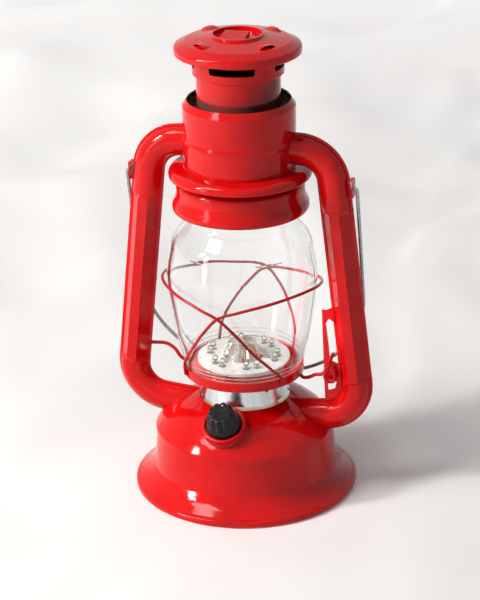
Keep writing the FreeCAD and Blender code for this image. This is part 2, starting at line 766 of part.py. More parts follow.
def tray_screws():
    seat = float(holder_sizes()[0] + D.holder_wall)
    screw = round_head_screw(float(D.screw_radius), 6.5, 2.2, 1.6)
    feature("tray_screws", Part.makeCompound(
        round_copies(screw, float(D.boss_circle), seat + 0.05, 4)))


def cell_places():
    """Middle line of each cell, and which way its nub points."""
    seat = float(holder_sizes()[0])
    count = int(float(D.cell_count))
    for k in range(count):
        across = (k - (count - 1) / 2) * float(D.cell_pitch)
        yield across, seat + 1.0 + float(D.cell_radius), 1 if k % 2 else -1


def battery_cells():
    radius = float(D.cell_radius)
    length = float(D.cell_length)
    cells = []
    for across, height, way in cell_places():
        can = Part.makeCylinder(radius, length - 1.2)
        can = can.makeFillet(0.6, [can.Edges[0], can.Edges[2]])
        nub = Part.makeCylinder(2.7, 1.4, Vector(0, 0, length - 1.4))
        cell = can.fuse(nub)
        cell.Placement = Placement(Vector(across, -way * length / 2, height),
                                   Rotation(Vector(1, 0, 0), -90 * way))
        cells.append(cell)
    feature("battery_cells", Part.makeCompound(cells))


def contact_plates():
    _, _, half_y, _ = holder_sizes()
    sheet = float(D.contact_sheet)
    wide = 2 * float(D.cell_radius) - 3.5
    plates = []
    for across, height, _ in cell_places():
        for end in (-1, 1):
            inner = end * (float(half_y) - 0.05) - (sheet if end > 0 else 0)
            plates.append(Part.makeBox(wide, sheet, wide,
                                       Vector(across - wide / 2, inner, height - wide / 2)))
    feature("contact_plates", Part.makeCompound(plates))


# Dimmer

def on_knob_axis(thing):
    """Stand a piece on the dome: its own +Z is the knob's axis, its origin the dome's skin."""
    thing.Placement = Placement(Vector(0, -float(D.knob_reach), float(D.knob_height)),
                                Rotation(Vector(1, 0, 0), float(D.knob_lean)))
    bind(thing, "Placement.Base.y", -D.knob_reach)
    bind(thing, "Placement.Base.z", D.knob_height)
    bind(thing, "Placement.Rotation.Angle", D.knob_lean)
    return thing


def at_knob(x, y, z):
    """A point of the knob's own frame in the lantern's frame."""
    lean = Rotation(Vector(1, 0, 0), float(D.knob_lean))
    return lean.multVec(Vector(x, y, z)) + Vector(0, -float(D.knob_reach), float(D.knob_height))


POT_SEAT = -2.2


def dimmer_pot():
    bore = D.shaft_radius + D.shaft_gap
    back = POT_SEAT - D.pot_depth
    finish(on_knob_axis(turned("dimmer_pot", [
        (0, back),
        (D.pot_radius, back),
        (D.pot_radius, POT_SEAT),
        (D.bush_radius, POT_SEAT),
        (D.bush_radius, D.ring_top - 1.6),
        (bore, D.ring_top - 1.6),
        (bore, back + 2.6),
        (0, back + 2.6),
    ])))


def knob_foot():
    return D.ring_top - 1.3


def pot_shaft():
    low = POT_SEAT - D.pot_depth + 2.7
    high = knob_foot() + D.knob_tall - 3.2
    finish(on_knob_axis(turned("pot_shaft", [
        (0, low), (D.shaft_radius, low), (D.shaft_radius, high), (0, high)])))


def pot_nut():
    body = new_body("pot_nut")
    corner = D.nut_width / 2 / cosine(30)
    sketch = outline(body, "NutProfile",
                     [(corner * cosine(60 * k), corner * sine(60 * k)) for k in range(6)],
                     "XY_Plane", D.ring_top - 3.8)
    pad(body, "Nut", sketch, 2.1)
    drill(body, "Thread", D.bush_radius + D.shaft_gap, 4.0, (0, 0, D.ring_top - 4.8))
    finish(on_knob_axis(body))


def knurled_ring(dome):
    body = turned("ring_blank", [
        (6.4, -5.0),
        (D.ring_radius - 0.4, -5.0),
        (D.ring_radius, 0.8),
        (D.ring_radius, D.ring_top - 0.8),
        (D.ring_radius - 0.8, D.ring_top),
        (D.ring_radius - 1.9, D.ring_top),
        (D.ring_radius - 1.9, D.ring_top - 1.8),
        (6.4, D.ring_top - 1.8),
    ])
    groove = drill(body, "Groove", D.knurl_radius, D.ring_top + 3.8, (D.ring_radius + 0.2, 0, -5.0))
    repeat(body, "Grooves", groove, D.knurl_count)
    on_knob_axis(body)
    finish(joined("Cut", "knurled_ring", body, dome))


def knob():
    foot = knob_foot()
    top = foot + D.knob_tall
    bore = D.shaft_radius + D.shaft_gap
    body = turned("knob", [
        (bore, foot),
        (D.knob_radius, foot),
        (D.knob_radius, foot + 2.2, 1.6),
        (D.knob_radius - 0.45 * D.knob_taper, foot + 6.2, 5.0),
        (D.knob_radius - D.knob_taper, top, 1.3),
        (0, top),
        (0, top - 3.0),
        (bore, top - 3.0),
    ])
    flute = drill(body, "Flute", D.flute_radius, 2 * D.knob_tall,
                  (D.knob_radius + 0.75, 0, foot + 3.6), Vector(0, 1, 0), -15)
    repeat(body, "Flutes", flute, D.flute_count)
    drill(body, "IndexDimple", 0.9, 2.0, (0, D.knob_radius - D.knob_taper - 2.8, top - 0.5))
    finish(on_knob_axis(body))


def control_board():
    body = new_body("control_board")
    half = D.board_width / 2
    back = POT_SEAT - D.pot_depth - 0.1
    sketch = outline(body, "BoardProfile", rectangle(half, half - 2.0), "XY_Plane", back)
    pad(body, "Board", sketch, D.board_sheet, backwards=True)
    chip = outline(body, "ChipProfile", [(1.0, 1.0), (8.0, 1.0), (8.0, 6.0), (1.0, 6.0)],
                   "XY_Plane", back - D.board_sheet + 0.1)
    pad(body, "Chip", chip, 1.6, backwards=True)
    can = ring(body, "CapacitorProfile", -6.0, -3.0, 2.5, offset=back - D.board_sheet + 0.1)
    pad(body, "Capacitor", can, 5.0, backwards=True)
    finish(on_knob_axis(body))


def leads(label, side):
    """One lead from the holder to the board and one from the board up to the LED board."""
    radius = float(D.lead_radius)
    seat, _, _, deep = holder_sizes()
    roof = float(seat + deep + D.holder_wall)
    back = float(POT_SEAT - D.pot_depth - D.board_sheet) - 0.15
    low = [at_knob(side * 9.5, -6.5, back), at_knob(side * 9.5, -6.5, back - 7.0),
           Vector(side * 9.5, -16.0, roof + 9.0), Vector(side * 8.0, -10.0, roof + 4.5),
           Vector(side * 8.0, -10.0, roof + 0.1)]
    top = float(D.led_height)
    high = [at_knob(side * 4.0, 8.0, back), at_knob(side * 4.0, 8.0, back - 6.0),
            Vector(side * 4.0, -7.0, 56.0), Vector(side * 4.0, -5.0, 70.0),
            Vector(side * 4.0, -5.0, top - 0.1)]
    wires = [wire_solid(bent_path(points, 6.0), radius) for points in (low, high)]
    feature(label, Part.makeCompound(wires))


# Light

def burner_cone():
    seat = D.dome_top_height
    body = turned("burner_cone", sheet_metal([
        (D.cone_foot_radius + 1.3, seat + 0.3, -0.8, 0.7),
        (D.cone_foot_radius, seat + 2.4, -1, 0.4),
        (D.cone_top_radius, D.cone_top_height, -1, -1),
        (D.column_radius + 2.2, D.cone_top_height, 0, -1),
    ], D.cone_sheet))
    side = 50.0
    aim = math.radians(side)
    drill(body, "SideHole", 1.5, 40.0, (0, 0, D.cone_top_height - 4.6),
          Vector(math.cos(aim), math.sin(aim), 0), 90)
    finish(body)


def led_column():
    foot = D.dome_top_height + 0.6 + D.fit_gap
    inner = D.column_radius - D.column_wall
    top = D.led_height - D.fit_gap
    body = turned("led_column", [
        (inner, foot),
        (D.column_radius + 3.5, foot),
        (D.column_radius + 3.5, foot + 1.3),
        (D.column_radius, foot + 1.3),
        (D.column_radius, top),
        (inner - 4.4, top),
        (inner - 4.4, top - D.column_wall),
        (inner, top - D.column_wall),
    ])
    hole = drill(body, "ScrewHole", D.screw_radius + D.shaft_gap, 3.0,
                 (D.column_radius - 3.5, 0, top - 2.5))
    repeat(body, "ScrewHoles", hole, 3)
    finish(body)


def led_board():
    top = D.led_height + D.board_sheet
    body = turned("led_board", [
        (0, D.led_height), (D.led_board_radius, D.led_height), (D.led_board_radius, top), (0, top)])
    hole = drill(body, "ScrewHole", D.screw_radius + D.shaft_gap, 3.0,
                 (D.column_radius - 3.5, 0, D.led_height - 0.5))
    repeat(body, "ScrewHoles", hole, 3)
    finish(body)


def led_screws():
    screw = round_head_screw(float(D.screw_radius), 4.0, 2.0, 1.3)
    top = float(D.led_height + D.board_sheet)
    feature("led_screws", Part.makeCompound(
        round_copies(screw, float(D.column_radius) - 3.5, top + 0.05, 3)))


def leds():
    radius = float(D.led_radius)
    tall = float(D.led_tall)
    can = Part.makeCylinder(radius, tall)
    dome = can.makeFillet(radius * 0.98, [can.Edges[0]])
    bulb = dome.fuse(Part.makeCylinder(radius + 0.4, 1.0)).removeSplitter()
    top = float(D.led_height + D.board_sheet) + 0.05
    half = float(D.led_spread) / 2
    pairs = int(float(D.led_pairs))
    circle = float(D.led_circle)
    copies = round_copies(bulb, circle, top, pairs, half)
    copies += round_copies(bulb, circle, top, pairs, -half)
    feature("leds", Part.makeCompound(copies))


def reflector_lens():
    body = new_body("reflector_lens")
    sides = int(float(D.lens_sides))
    corners = [(D.lens_radius * cosine(360.0 / sides * k), D.lens_radius * sine(360.0 / sides * k))
               for k in range(sides)]
    sketch = outline(body, "LensProfile", corners, "XY_Plane", D.led_height + D.board_sheet + 0.05)
    cone = pad(body, "Lens", sketch, D.lens_tall)
    cone.TaperAngle = -float(D.lens_taper)
    bind(cone, "TaperAngle", -D.lens_taper)
    finish(body)


# Globe and its carriage

def globe_plate():
    floor = D.plate_foot + D.plate_floor
    hole = D.column_radius + D.run_gap
    rim = D.plate_radius - D.wall
    finish(turned("globe_plate", [
        (rim, D.plate_foot),
        (D.plate_radius, D.plate_foot),
        (D.plate_radius, D.plate_foot + D.plate_rim),
        (rim, D.plate_foot + D.plate_rim),
        (rim, floor + D.wall),
        (hole, floor + D.wall),
        (hole, D.plate_foot - 0.8),
        (hole + D.wall, D.plate_foot - 0.8),
        (hole + D.wall, floor),
        (rim, floor),
    ]))


def globe():
    foot = D.globe_seat + 0.05
    tall = D.globe_top - foot
    steps = [
        (D.globe_foot_radius, foot, -1, 0),
        (D.globe_foot_radius + 0.4, foot + 2.4, -1, 0.2, 4.0, 2.4),
        (D.globe_waist_radius, foot + 0.22 * tall, -1, 0, 90.0, 88.2),
        (D.globe_belly_radius, foot + 0.517 * tall, -1, 0, 55.0, 53.2),
        (D.globe_belly_radius - 4.8, foot + 0.707 * tall, -1, -0.35, 18.0, 16.2),
        (D.globe_neck_radius + 0.2, foot + 0.807 * tall, -1, -0.25, 6.0, 7.8),
        (D.globe_neck_radius, D.globe_top, -1, 0),
    ]
    finish(turned("globe", sheet_metal(steps, D.glass)))


def seam_edge(height, outward=1):
    """Distance of a tube's outer or inner seam edge from the middle, on its straight leg."""
    slope = (D.tube_low_corner - D.tube_top_corner) / (D.tube_height - D.tube_low_height)
    middle = D.tube_top_corner + (D.tube_height - height) * slope
    return middle + outward * (D.tube_half + D.seam_width) * 1.0059


def lift_eye_reach():
    return seam_edge(D.lift_eye_height, -1) + D.lift_eye_inset


def ear_reach():
    """Inner face of a bail ear."""
    return seam_edge(D.bail_pivot) + D.ear_stand


def bracket_left():
    """Inner edge of the lift bracket at its top."""
    return seam_edge(D.plate_foot + 48.8, -1) - 6.6


def guard_path(side, step_out):
    """One guard wire: high at one side, its ends down at the plate's rim past the other side.
    At the two crossings it can step out round the other wire."""
    radius = float(D.guard_radius)
    seat = float(D.plate_radius + D.guard_wire) + 0.02
    low = float(D.plate_foot) + 2.0
    high = float(D.guard_high)
    cross = float(D.guard_cross)
    back = float(D.guard_cross_back)
    front_end = float(D.guard_front_end)
    back_end = float(D.guard_back_end)
    stations = [
        (front_end, low, seat),
        (front_end - 2, low + 6, seat + 1.0),
        (front_end - 14, low + 15.5, seat + 4.4),
        (24, low + 30, radius - 3.0),
        (11, cross - 10.5, radius - 0.6 + 0.4 * step_out),
        (0, cross, radius + step_out),
        (-14, cross + 4.5, radius + 0.4 * step_out),
        (-38, high - 1.5, radius),
        (-64, high, radius),
        (-92, high - 2.8, radius),
        (-122, back + 7.5, radius),
        (-152, back + 3.6, radius + 0.2 * step_out),
        (-180, back, radius + step_out),
        (-193, back - 10, radius - 1.0 + 0.4 * step_out),
        (-206, back - 23.5, radius - 4.0),
        (back_end + 6 - 360, low + 15.5, seat + 4.2),
        (back_end + 1 - 360, low + 6, seat + 1.0),
        (back_end - 360, low, seat),
    ]
    points = []
    for angle, height, reach in stations:
        turn_angle = math.radians(angle)
        points.append(Vector(side * reach * math.sin(turn_angle), -reach * math.cos(turn_angle), height))
    return smooth_path(points)


def guard_wires():
    """Two wires that cross in front and behind, the left one outside the right one."""
    wire = float(D.guard_wire)
    feature("guard_wire_left", wire_solid(guard_path(1, 2 * wire + 0.15), wire))
    feature("guard_wire_right", wire_solid(guard_path(-1, 0), wire))


def lift_wire():
    """From its eye in the left tube, under the globe plate, to its hook round the bracket."""
    eye_x = -float(lift_eye_reach())
    eye_z = float(D.lift_eye_height)
    foot = float(D.plate_foot)
    under = foot - float(D.lift_wire_radius) - 0.4
    rim = float(D.plate_radius)
    side = rim + eye_x
    hook = float(bracket_left())
    points = [
        (eye_x, -2.2, eye_z), (eye_x, 2.8, eye_z), (0.5875 * side - rim, 2.8, eye_z + 1.0),
        (0.3665 * side - rim, 2.8, eye_z - 2.0), (0.164 * side - rim, 3.2, under + 1.0),
        (-0.949 * rim, 8.0, under - 0.1), (-0.724 * rim, 0.499 * rim, under - 0.1),
        (-0.35 * rim, 0.774 * rim, under - 0.4), (0.15 * rim, 0.811 * rim, under - 1.0),
        (0.574 * rim, 0.637 * rim, under - 1.6), (0.824 * rim, 0.325 * rim, under - 2.0),
        (rim, 3.2, under - 2.6), (rim + 4.5, 2.6, under - 1.6), (rim + 8.5, 2.6, under + 1.2),
        (hook - 0.1, 2.6, under + 1.8), (hook + 3.4, 2.7, foot + 9.5), (hook + 7.0, 2.7, foot + 16.8),
        (hook + 7.2, -3.8, foot + 16.8), (hook + 2.4, -5.0, foot + 2.2), (hook + 4.2, -5.2, foot - 1.1),
        (hook + 10.0, -5.0, foot - 0.6), (hook + 8.2, -3.9, foot + 8.4),
    ]
    path = bent_path([Vector(*point) for point in points], 14.0)
    feature("lift_wire", wire_solid(path, float(D.lift_wire_radius)))


# Frame

def tube_path(body, side):
    return outline(body, "Path", [
        (side * D.tube_start, D.tube_height),
        (side * D.tube_top_corner, D.tube_height, D.tube_top_bend),
        (side * D.tube_low_corner, D.tube_low_height, D.tube_low_bend),
        (side * D.tube_end, D.tube_end_height),
    ], closed=False)


def tube_half(label, side, face, dome, skin):
    """One pressed half of a side tube, swept along the tube's middle line and cut to its seats."""
    body = new_body(label + "_blank")
    path = tube_path(body, side)
    mid = D.tube_height
    edge = D.tube_half + D.seam_width
    section = outline(body, "Section", [
        (0, mid + edge),
        (face * D.wall, mid + edge),
        (face * D.wall, mid + D.tube_half),
        (face * D.tube_ridge, mid, D.ridge_bend),
        (face * D.wall, mid - D.tube_half),
        (face * D.wall, mid - edge),
        (0, mid - edge),
        (0, mid - D.tube_half + D.wall * 1.2),
        (face * (D.tube_ridge - D.wall * 1.45), mid, D.ridge_bend - D.wall),
        (0, mid + D.tube_half - D.wall * 1.2),
    ], "YZ_Plane", side * D.tube_start)
    pipe = body.newObject("PartDesign::AdditivePipe", "Sweep")
    pipe.Profile = section
    pipe.Spine = path
    shape = joined("Cut", label + "_top_cut", body, skin)
    if side < 0:
        eye = (-lift_eye_reach(), 0, D.lift_eye_height)
        boss = cylinder(label + "_eye", 2.8, D.wall, eye, Vector(1, 0, 0), 90 * -face)
        shape = joined("Fuse", label + "_with_eye", shape, boss)
        hole = cylinder(label + "_eye_hole", D.lift_wire_radius + D.shaft_gap, 20.0,
                        (-lift_eye_reach(), 10.0, D.lift_eye_height), Vector(1, 0, 0), 90)
        shape = joined("Cut", label + "_eye_cut", shape, hole)
    else:
        for number, (x, z) in enumerate(rivet_places()):
            hole = cylinder(f"{label}_rivet_hole_{number}", D.rivet_radius + D.shaft_gap, 20.0,
                            (x, 10.0, z), Vector(1, 0, 0), 90)
            shape = joined("Cut", f"{label}_rivet_cut_{number}", shape, hole)
    finish(joined("Cut", label, shape, dome))


def rivet_places():
    """Middles of the bracket's two rivets, on the right tube's inner seam."""
    return [(seam_edge(height, -1) + 0.72, height) for height in (D.plate_foot + 45.0, D.plate_foot + 6.5)]


def lift_bracket():
    body = new_body("lift_bracket")
    left = bracket_left()
    foot = D.plate_foot
    lap = 1.35

    def on_seam(rise, *bend):
        return (seam_edge(foot + rise, -1) + lap, foot + rise, *bend)

    def below(inward, drop):
        """A corner that keeps to the seam where the tube bends away."""
        return (seam_edge(foot - 1.0, -1) - inward, foot - 1.0 - drop, 12.0)

    sketch = outline(body, "BracketProfile", [
        (left, foot + 48.8),
        (left + 2.0, foot - 17.35),
        below(4.42, 14.03),
        below(0.35, 9.59),
        below(-1.4, 3.85),
        on_seam(-0.2),
        on_seam(10.4),
        (left + 5.2, foot + 13.2, 1.5),
        (left + 4.6, foot + 22.0),
        (left + 2.6, foot + 39.0, 2.0),
        (left + 4.8, foot + 43.0, 1.0),
        on_seam(39.8),
        on_seam(51.0),
        (left + 2.2, foot + 48.4, 1.0),
    ], "XZ_Plane", D.wall)
    draw(sketch, [(left + 4.0, foot - 9.0, 0.6), (left + 8.8, foot - 7.4, 2.5),
                  (left + 10.0, foot - 1.8, 0.6), (left + 3.8, foot - 1.8, 0.6)])
    pad(body, "Plate", sketch, D.bracket_sheet)
    for number, (x, z) in enumerate(rivet_places()):
        drill(body, f"RivetHole{number}", D.rivet_radius + D.shaft_gap, 8.0, (x, 4.0, z),
              Vector(1, 0, 0), 90)
    finish(body)


def bracket_rivets():
    front = -float(D.wall + D.bracket_sheet) - 0.02
    back = float(D.wall) + 0.02
    rivets = []
    for x, z in rivet_places():
        shank = Part.makeCylinder(float(D.rivet_radius), back - front + 0.2,
                                  Vector(float(x), back + 0.1, float(z)), Vector(0, -1, 0))
        rivet = shank
        for y, way in ((front, -1), (back, 1)):
            head = Part.makeCylinder(0.85, 0.4, Vector(float(x), y, float(z)), Vector(0, way, 0))
            rivet = rivet.fuse(head)
        rivets.append(rivet)
    feature("bracket_rivets", Part.makeCompound(rivets))


def bail_ear(label, side):
    low = D.bail_pivot - D.ear_half
    high = D.bail_pivot + D.ear_half
    inner = ear_reach()
    outer = inner + D.wall
    body = new_body(label)
    sketch = outline(body, "EarProfile", [
        (side * outer, low),
        (side * outer, high),
        (side * (seam_edge(high) + D.fit_gap), high),
        (side * (seam_edge(high) + D.fit_gap), high - D.wall),
        (side * inner, high - D.wall),
        (side * inner, low + D.wall),
        (side * (seam_edge(low) + D.fit_gap), low + D.wall),
        (side * (seam_edge(low) + D.fit_gap), low),
    ])
    pad(body, "Ear", sketch, D.ear_width, both_ways=True)
    drill(body, "Eye", D.bail_wire + D.shaft_gap, 4.0,
          (side * inner - 2.0, 0, D.bail_pivot), Vector(0, 1, 0), 90)
    finish(body)


def bail():
    body = new_body("bail")
    reach = ear_reach() + D.bail_margin
    stub = ear_reach() - 0.85
    path = outline(body, "Path", [
        (stub, 0),
        (reach, 0, 2.4),
        (reach, -D.bail_length, D.bail_bend),
        (-reach, -D.bail_length, D.bail_bend),
        (-reach, 0, 2.4),
        (-stub, 0),
    ], closed=False)
    section = ring(body, "Section", 0, 0, D.bail_wire, "YZ_Plane", stub)
    pipe = body.newObject("PartDesign::AdditivePipe", "Wire")
    pipe.Profile = section
    pipe.Spine = path
    body.Placement = Placement(Vector(0, 0, float(D.bail_pivot)),
                               Rotation(Vector(1, 0, 0), float(D.bail_rest)))
    bind(body, "Placement.Base.z", D.bail_pivot)
    bind(body, "Placement.Rotation.Angle", D.bail_rest)
    finish(body)


# Top

def canister():
    radius = D.canister_radius
    finish(turned("canister", sheet_metal([
        (D.chimney_radius + D.run_gap, D.canister_foot, 0, 1),
        (radius, D.canister_foot, -1, 1, 1.2, 0.5),
        (radius, D.bead_height - 2.2, -1, 0),
        (radius + D.bead, D.bead_height, -1, 0),
        (radius, D.bead_height + 2.2, -1, 0),
        (radius, D.canister_shoulder, -1, -0.4),
        (D.canister_mouth + 0.5, D.canister_top, -0.6, -1),
    ], D.wall)))


def canister_brim():
    root = D.canister_foot + 1.2
    finish(turned("canister_brim", sheet_metal([
        (D.canister_radius + 0.1, root, 0, -1),
        (D.brim_radius, root - 0.4, -1, -1, 1.2, 0.5),
        (D.brim_radius, root - 0.4 - D.brim_lip, -1, 0),
    ], D.wall)))


def spring_stop():
    finish(turned("spring_stop", [
        (D.chimney_radius + D.run_gap, D.spring_head),
        (D.canister_radius - D.wall - 0.2, D.spring_head),
        (D.canister_radius - D.wall - 0.2, D.spring_head + D.wall),
        (D.chimney_radius + D.run_gap, D.spring_head + D.wall),
    ]))


def spring_collar():
    finish(turned("spring_collar", [
        (D.chimney_radius + D.shaft_gap, D.spring_foot - D.wall),
        (D.spring_radius + 2.0, D.spring_foot - D.wall),
        (D.spring_radius + 2.0, D.spring_foot),
        (D.chimney_radius + D.shaft_gap, D.spring_foot),
    ]))


def hood_spring():
    """Compression spring in quarter turns of tangent arcs."""
    wire = float(D.spring_wire)
    radius = float(D.spring_radius)
    low = float(D.spring_foot) + wire + 0.1
    high = float(D.spring_head) - wire - 0.1
    quarters = int(round(float(D.spring_turns) * 4))
    climb = (high - low) / quarters
    points = []
    ways = []
    for k in range(quarters + 1):
        angle = math.pi / 2 * k
        points.append(Vector(radius * math.cos(angle), radius * math.sin(angle), low + climb * k))
        ways.append(Vector(-radius * math.sin(angle), radius * math.cos(angle),
                           climb / (math.pi / 2)).normalize())
    edges = []
    for k in range(quarters):
        edges += biarc(points[k], ways[k], points[k + 1], ways[k + 1])
    feature("hood_spring", wire_solid(Part.Wire(edges), wire))
    print(f"hood_spring least gap {4 * climb - 2 * wire:.2f}")


def chimney():
    foot = D.bell_top + 0.05
    inner = D.chimney_radius - D.wall
    finish(turned("chimney", [
        (inner, foot), (D.chimney_radius, foot),
        (D.chimney_radius, D.chimney_top), (inner, D.chimney_top)]))


def vent_collar():
    inner = D.collar_radius - D.wall
    root = D.chimney_radius + 0.1
    top = D.cap_crease_height - 0.9
    body = turned("vent_collar", [
        (root, D.collar_foot),
        (D.collar_radius, D.collar_foot, 0.7),
        (D.collar_radius, top),
        (inner, top),
        (inner, D.collar_foot + D.wall),
        (root, D.collar_foot + D.wall),
    ])
    half = D.vent_wide / 2
    vent_top = D.vent_foot + D.vent_tall
    slot = outline(body, "VentProfile", [
        (-half, D.vent_foot, 1.8), (half, D.vent_foot, 1.8), (half, vent_top), (-half, vent_top)])
    hole = pad(body, "Vent", slot, 2 * D.collar_radius, backwards=True, cut=True)
    repeat(body, "Vents", hole, 4)
    body.Placement = Placement(Vector(), Rotation(Vector(0, 0, 1), float(D.vent_turn)))
    bind(body, "Placement.Rotation.Angle", D.vent_turn)
    finish(body)


def hood_cap():
    crown = D.grip_ring_top - 1.5
    body = turned("hood_cap", [
        (D.cap_radius - 2.0, D.cap_foot),
        (D.cap_radius, D.cap_foot, 1.0),
        (D.cap_radius, D.cap_lip_top, 2.2),
        (D.cap_crease_radius, D.cap_crease_height),
        (D.grip_ring_radius, crown),
        (D.grip_ring_radius - 0.3, D.grip_ring_top),
        (D.grip_ring_radius - 1.5, D.grip_ring_top),
        (D.grip_ring_radius - 1.9, D.grip_floor),
        (0, D.grip_floor),
        (0, D.grip_floor - D.wall),
        (D.cap_crease_radius - 0.4, D.cap_crease_height - 0.9),
        (D.cap_radius - D.wall, D.cap_lip_top - 0.7, 1.4),
        (D.cap_radius - D.wall, D.cap_foot + D.wall),
        (D.cap_radius - 2.0, D.cap_foot + D.wall),
    ])
    front = -(D.grip_ring_radius - 1.7)
    tab = outline(body, "TabProfile", [
        (front, D.grip_floor - 0.3),
        (-0.2, D.grip_floor - 0.3),
        (-0.2, D.grip_top),
        (-1.1, D.grip_top),
        (front, D.grip_ring_top - 1.0),
    ], "YZ_Plane")
    pad(body, "Tab", tab, D.grip_width, both_ways=True)
    half = D.louvre_length / 2
    far = D.louvre_circle + D.louvre_height / 2
    aim = D.louvre_turn
    cut = body.newObject("PartDesign::SubtractiveBox", "Louvre")
    bind(cut, "Length", D.louvre_length)
    bind(cut, "Width", D.louvre_height)
    cut.Height = 8.0
    place = (far * sine(aim) - half * cosine(aim), -half * sine(aim) - far * cosine(aim),
             D.cap_crease_height - 3.0)
    cut.Placement = Placement(Vector(*map(float, place)), Rotation(Vector(0, 0, 1), float(aim)))
    for letter, amount in zip("xyz", place):
        bind(cut, f"Placement.Base.{letter}", amount)
    bind(cut, "Placement.Rotation.Angle", aim)
    repeat(body, "Louvres", cut, 4)
    finish(body)


def bell():
    finish(turned("bell", sheet_metal([
        (D.bell_lip_radius, D.bell_foot, -1, 0.3),
        (D.bell_lip_radius, D.bell_foot + 2.2, -1, 0, 0.8, 0.8),
        (D.bell_radius, D.bell_foot + 4.6, -1, 0, 1.5, 1.5),
        (D.bell_radius, D.bell_top - 2.8, -1, -0.4),
        (D.bell_radius - 2.8, D.bell_top, -0.4, -1),
        (D.chimney_radius - D.wall, D.bell_top, 0, -1),
    ], D.wall)))


def build():
    base_skirt()
    base_dome()
    bottom_tray()
    battery_door()
    battery_holder()
    tray_screws()
    battery_cells()
    contact_plates()
    dimmer_pot()
    pot_shaft()
    pot_nut()
    knob()
    control_board()
    leads("red_leads", 1)
    leads("black_leads", -1)
    burner_cone()
    led_column()
    led_board()
    led_screws()
    leds()
    reflector_lens()
    globe_plate()
    globe()
    guard_wires()
    lift_wire()
    canister()
    canister_brim()
    spring_stop()
    spring_collar()
    hood_spring()
    chimney()
    vent_collar()
    hood_cap()
    bell()
    lift_bracket()
    bracket_rivets()
    bail_ear("bail_ear_left", -1)
    bail_ear("bail_ear_right", 1)
    bail()
    dome = dome_envelope()
    knurled_ring(dome)
    skin = cylinder("canister_skin", D.canister_radius + D.bead + D.fit_gap,
                    D.canister_top - D.canister_foot, (0, 0, D.canister_foot))
    for name, side in (("left", -1), ("right", 1)):
        tube_half(f"{name}_tube_front", side, -1, dome, skin)
        tube_half(f"{name}_tube_back", side, 1, dome, skin)


def check_and_write():
    DOC.recompute()
    broken = [thing.Label for thing in DOC.Objects
              if "Invalid" in thing.State or "Error" in thing.State]
    if broken:
        raise RuntimeError(f"failed features: {broken}")
    for thing in FINISHED:
        if thing.Shape.isNull() or not thing.Shape.isValid() or not thing.Shape.Solids:
            raise RuntimeError(f"bad shape: {thing.Label}")
    os.makedirs("parts", exist_ok=True)
    for thing in FINISHED:
        thing.Shape.exportStep(os.path.join("parts", thing.Label + ".step"))
        print(thing.Label, len(thing.Shape.Solids), round(thing.Shape.Volume, 1))


build()
check_and_write()
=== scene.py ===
"""Looks, lights and camera of the red hurricane lantern with its LED light."""

import logging
import math
from dataclasses import dataclass
from enum import Enum
from typing import Iterable, Sequence

import bmesh
import bpy
from mathutils import Euler, Matrix, Vector, noise


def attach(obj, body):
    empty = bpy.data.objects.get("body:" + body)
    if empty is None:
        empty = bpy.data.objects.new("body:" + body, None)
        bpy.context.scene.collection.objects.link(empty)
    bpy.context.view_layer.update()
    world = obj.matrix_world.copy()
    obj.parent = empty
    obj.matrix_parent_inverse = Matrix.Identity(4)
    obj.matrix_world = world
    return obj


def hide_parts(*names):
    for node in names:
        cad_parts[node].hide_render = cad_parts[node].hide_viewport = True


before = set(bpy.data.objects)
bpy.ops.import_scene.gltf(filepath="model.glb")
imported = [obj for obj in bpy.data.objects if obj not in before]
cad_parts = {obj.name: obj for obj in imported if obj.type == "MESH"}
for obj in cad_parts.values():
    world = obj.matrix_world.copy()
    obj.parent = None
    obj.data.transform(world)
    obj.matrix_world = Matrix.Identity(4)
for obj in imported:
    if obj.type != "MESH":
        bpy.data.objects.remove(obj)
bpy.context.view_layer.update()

LOG = logging.getLogger("lantern")
MM = 0.001

Colour = tuple[float, float, float]
Corner = tuple[float, ...]
Skin = tuple[list[Vector], list[list[int]]]
Socket = bpy.types.NodeSocket
ORIGIN = Vector((0.0, 0.0, 0.0))
UP = Vector((0.0, 0.0, 1.0))


def paint(red: int, green: int, blue: int) -> Colour:
    """Linear colour of an 8-bit screen colour.

    Args:
        red: Red, 0 to 255.
        green: Green, 0 to 255.
        blue: Blue, 0 to 255.

    Returns:
        The linear red, green and blue.
    """
    def linear(level: int) -> float:
        """One channel, made linear."""
        share = level / 255
        return share / 12.92 if share <= 0.04045 else ((share + 0.055) / 1.055) ** 2.4

    return linear(red), linear(green), linear(blue)


class Body(Enum):
    """The bodies that the new pieces ride on."""

    FRAME = "lantern_frame"
    DIMMER = "dimmer"
    GLOBE = "globe_carriage"
    HOOD = "hood"


class Slot(Enum):
    """Material slots of the record. No new piece is given one."""

    ENAMEL = "enamel"
    BRIGHT = "bright_steel"
    LED = "led_resin"
    LENS = "lens_resin"
    GLASS = "globe_glass"
    KNOB = "knob_plastic"


class Grain(Enum):
    """How a surface's fine marks run."""

    EVEN = (1.0, 1.0, 1.0)
    UPRIGHT = (1.0, 1.0, 0.04)


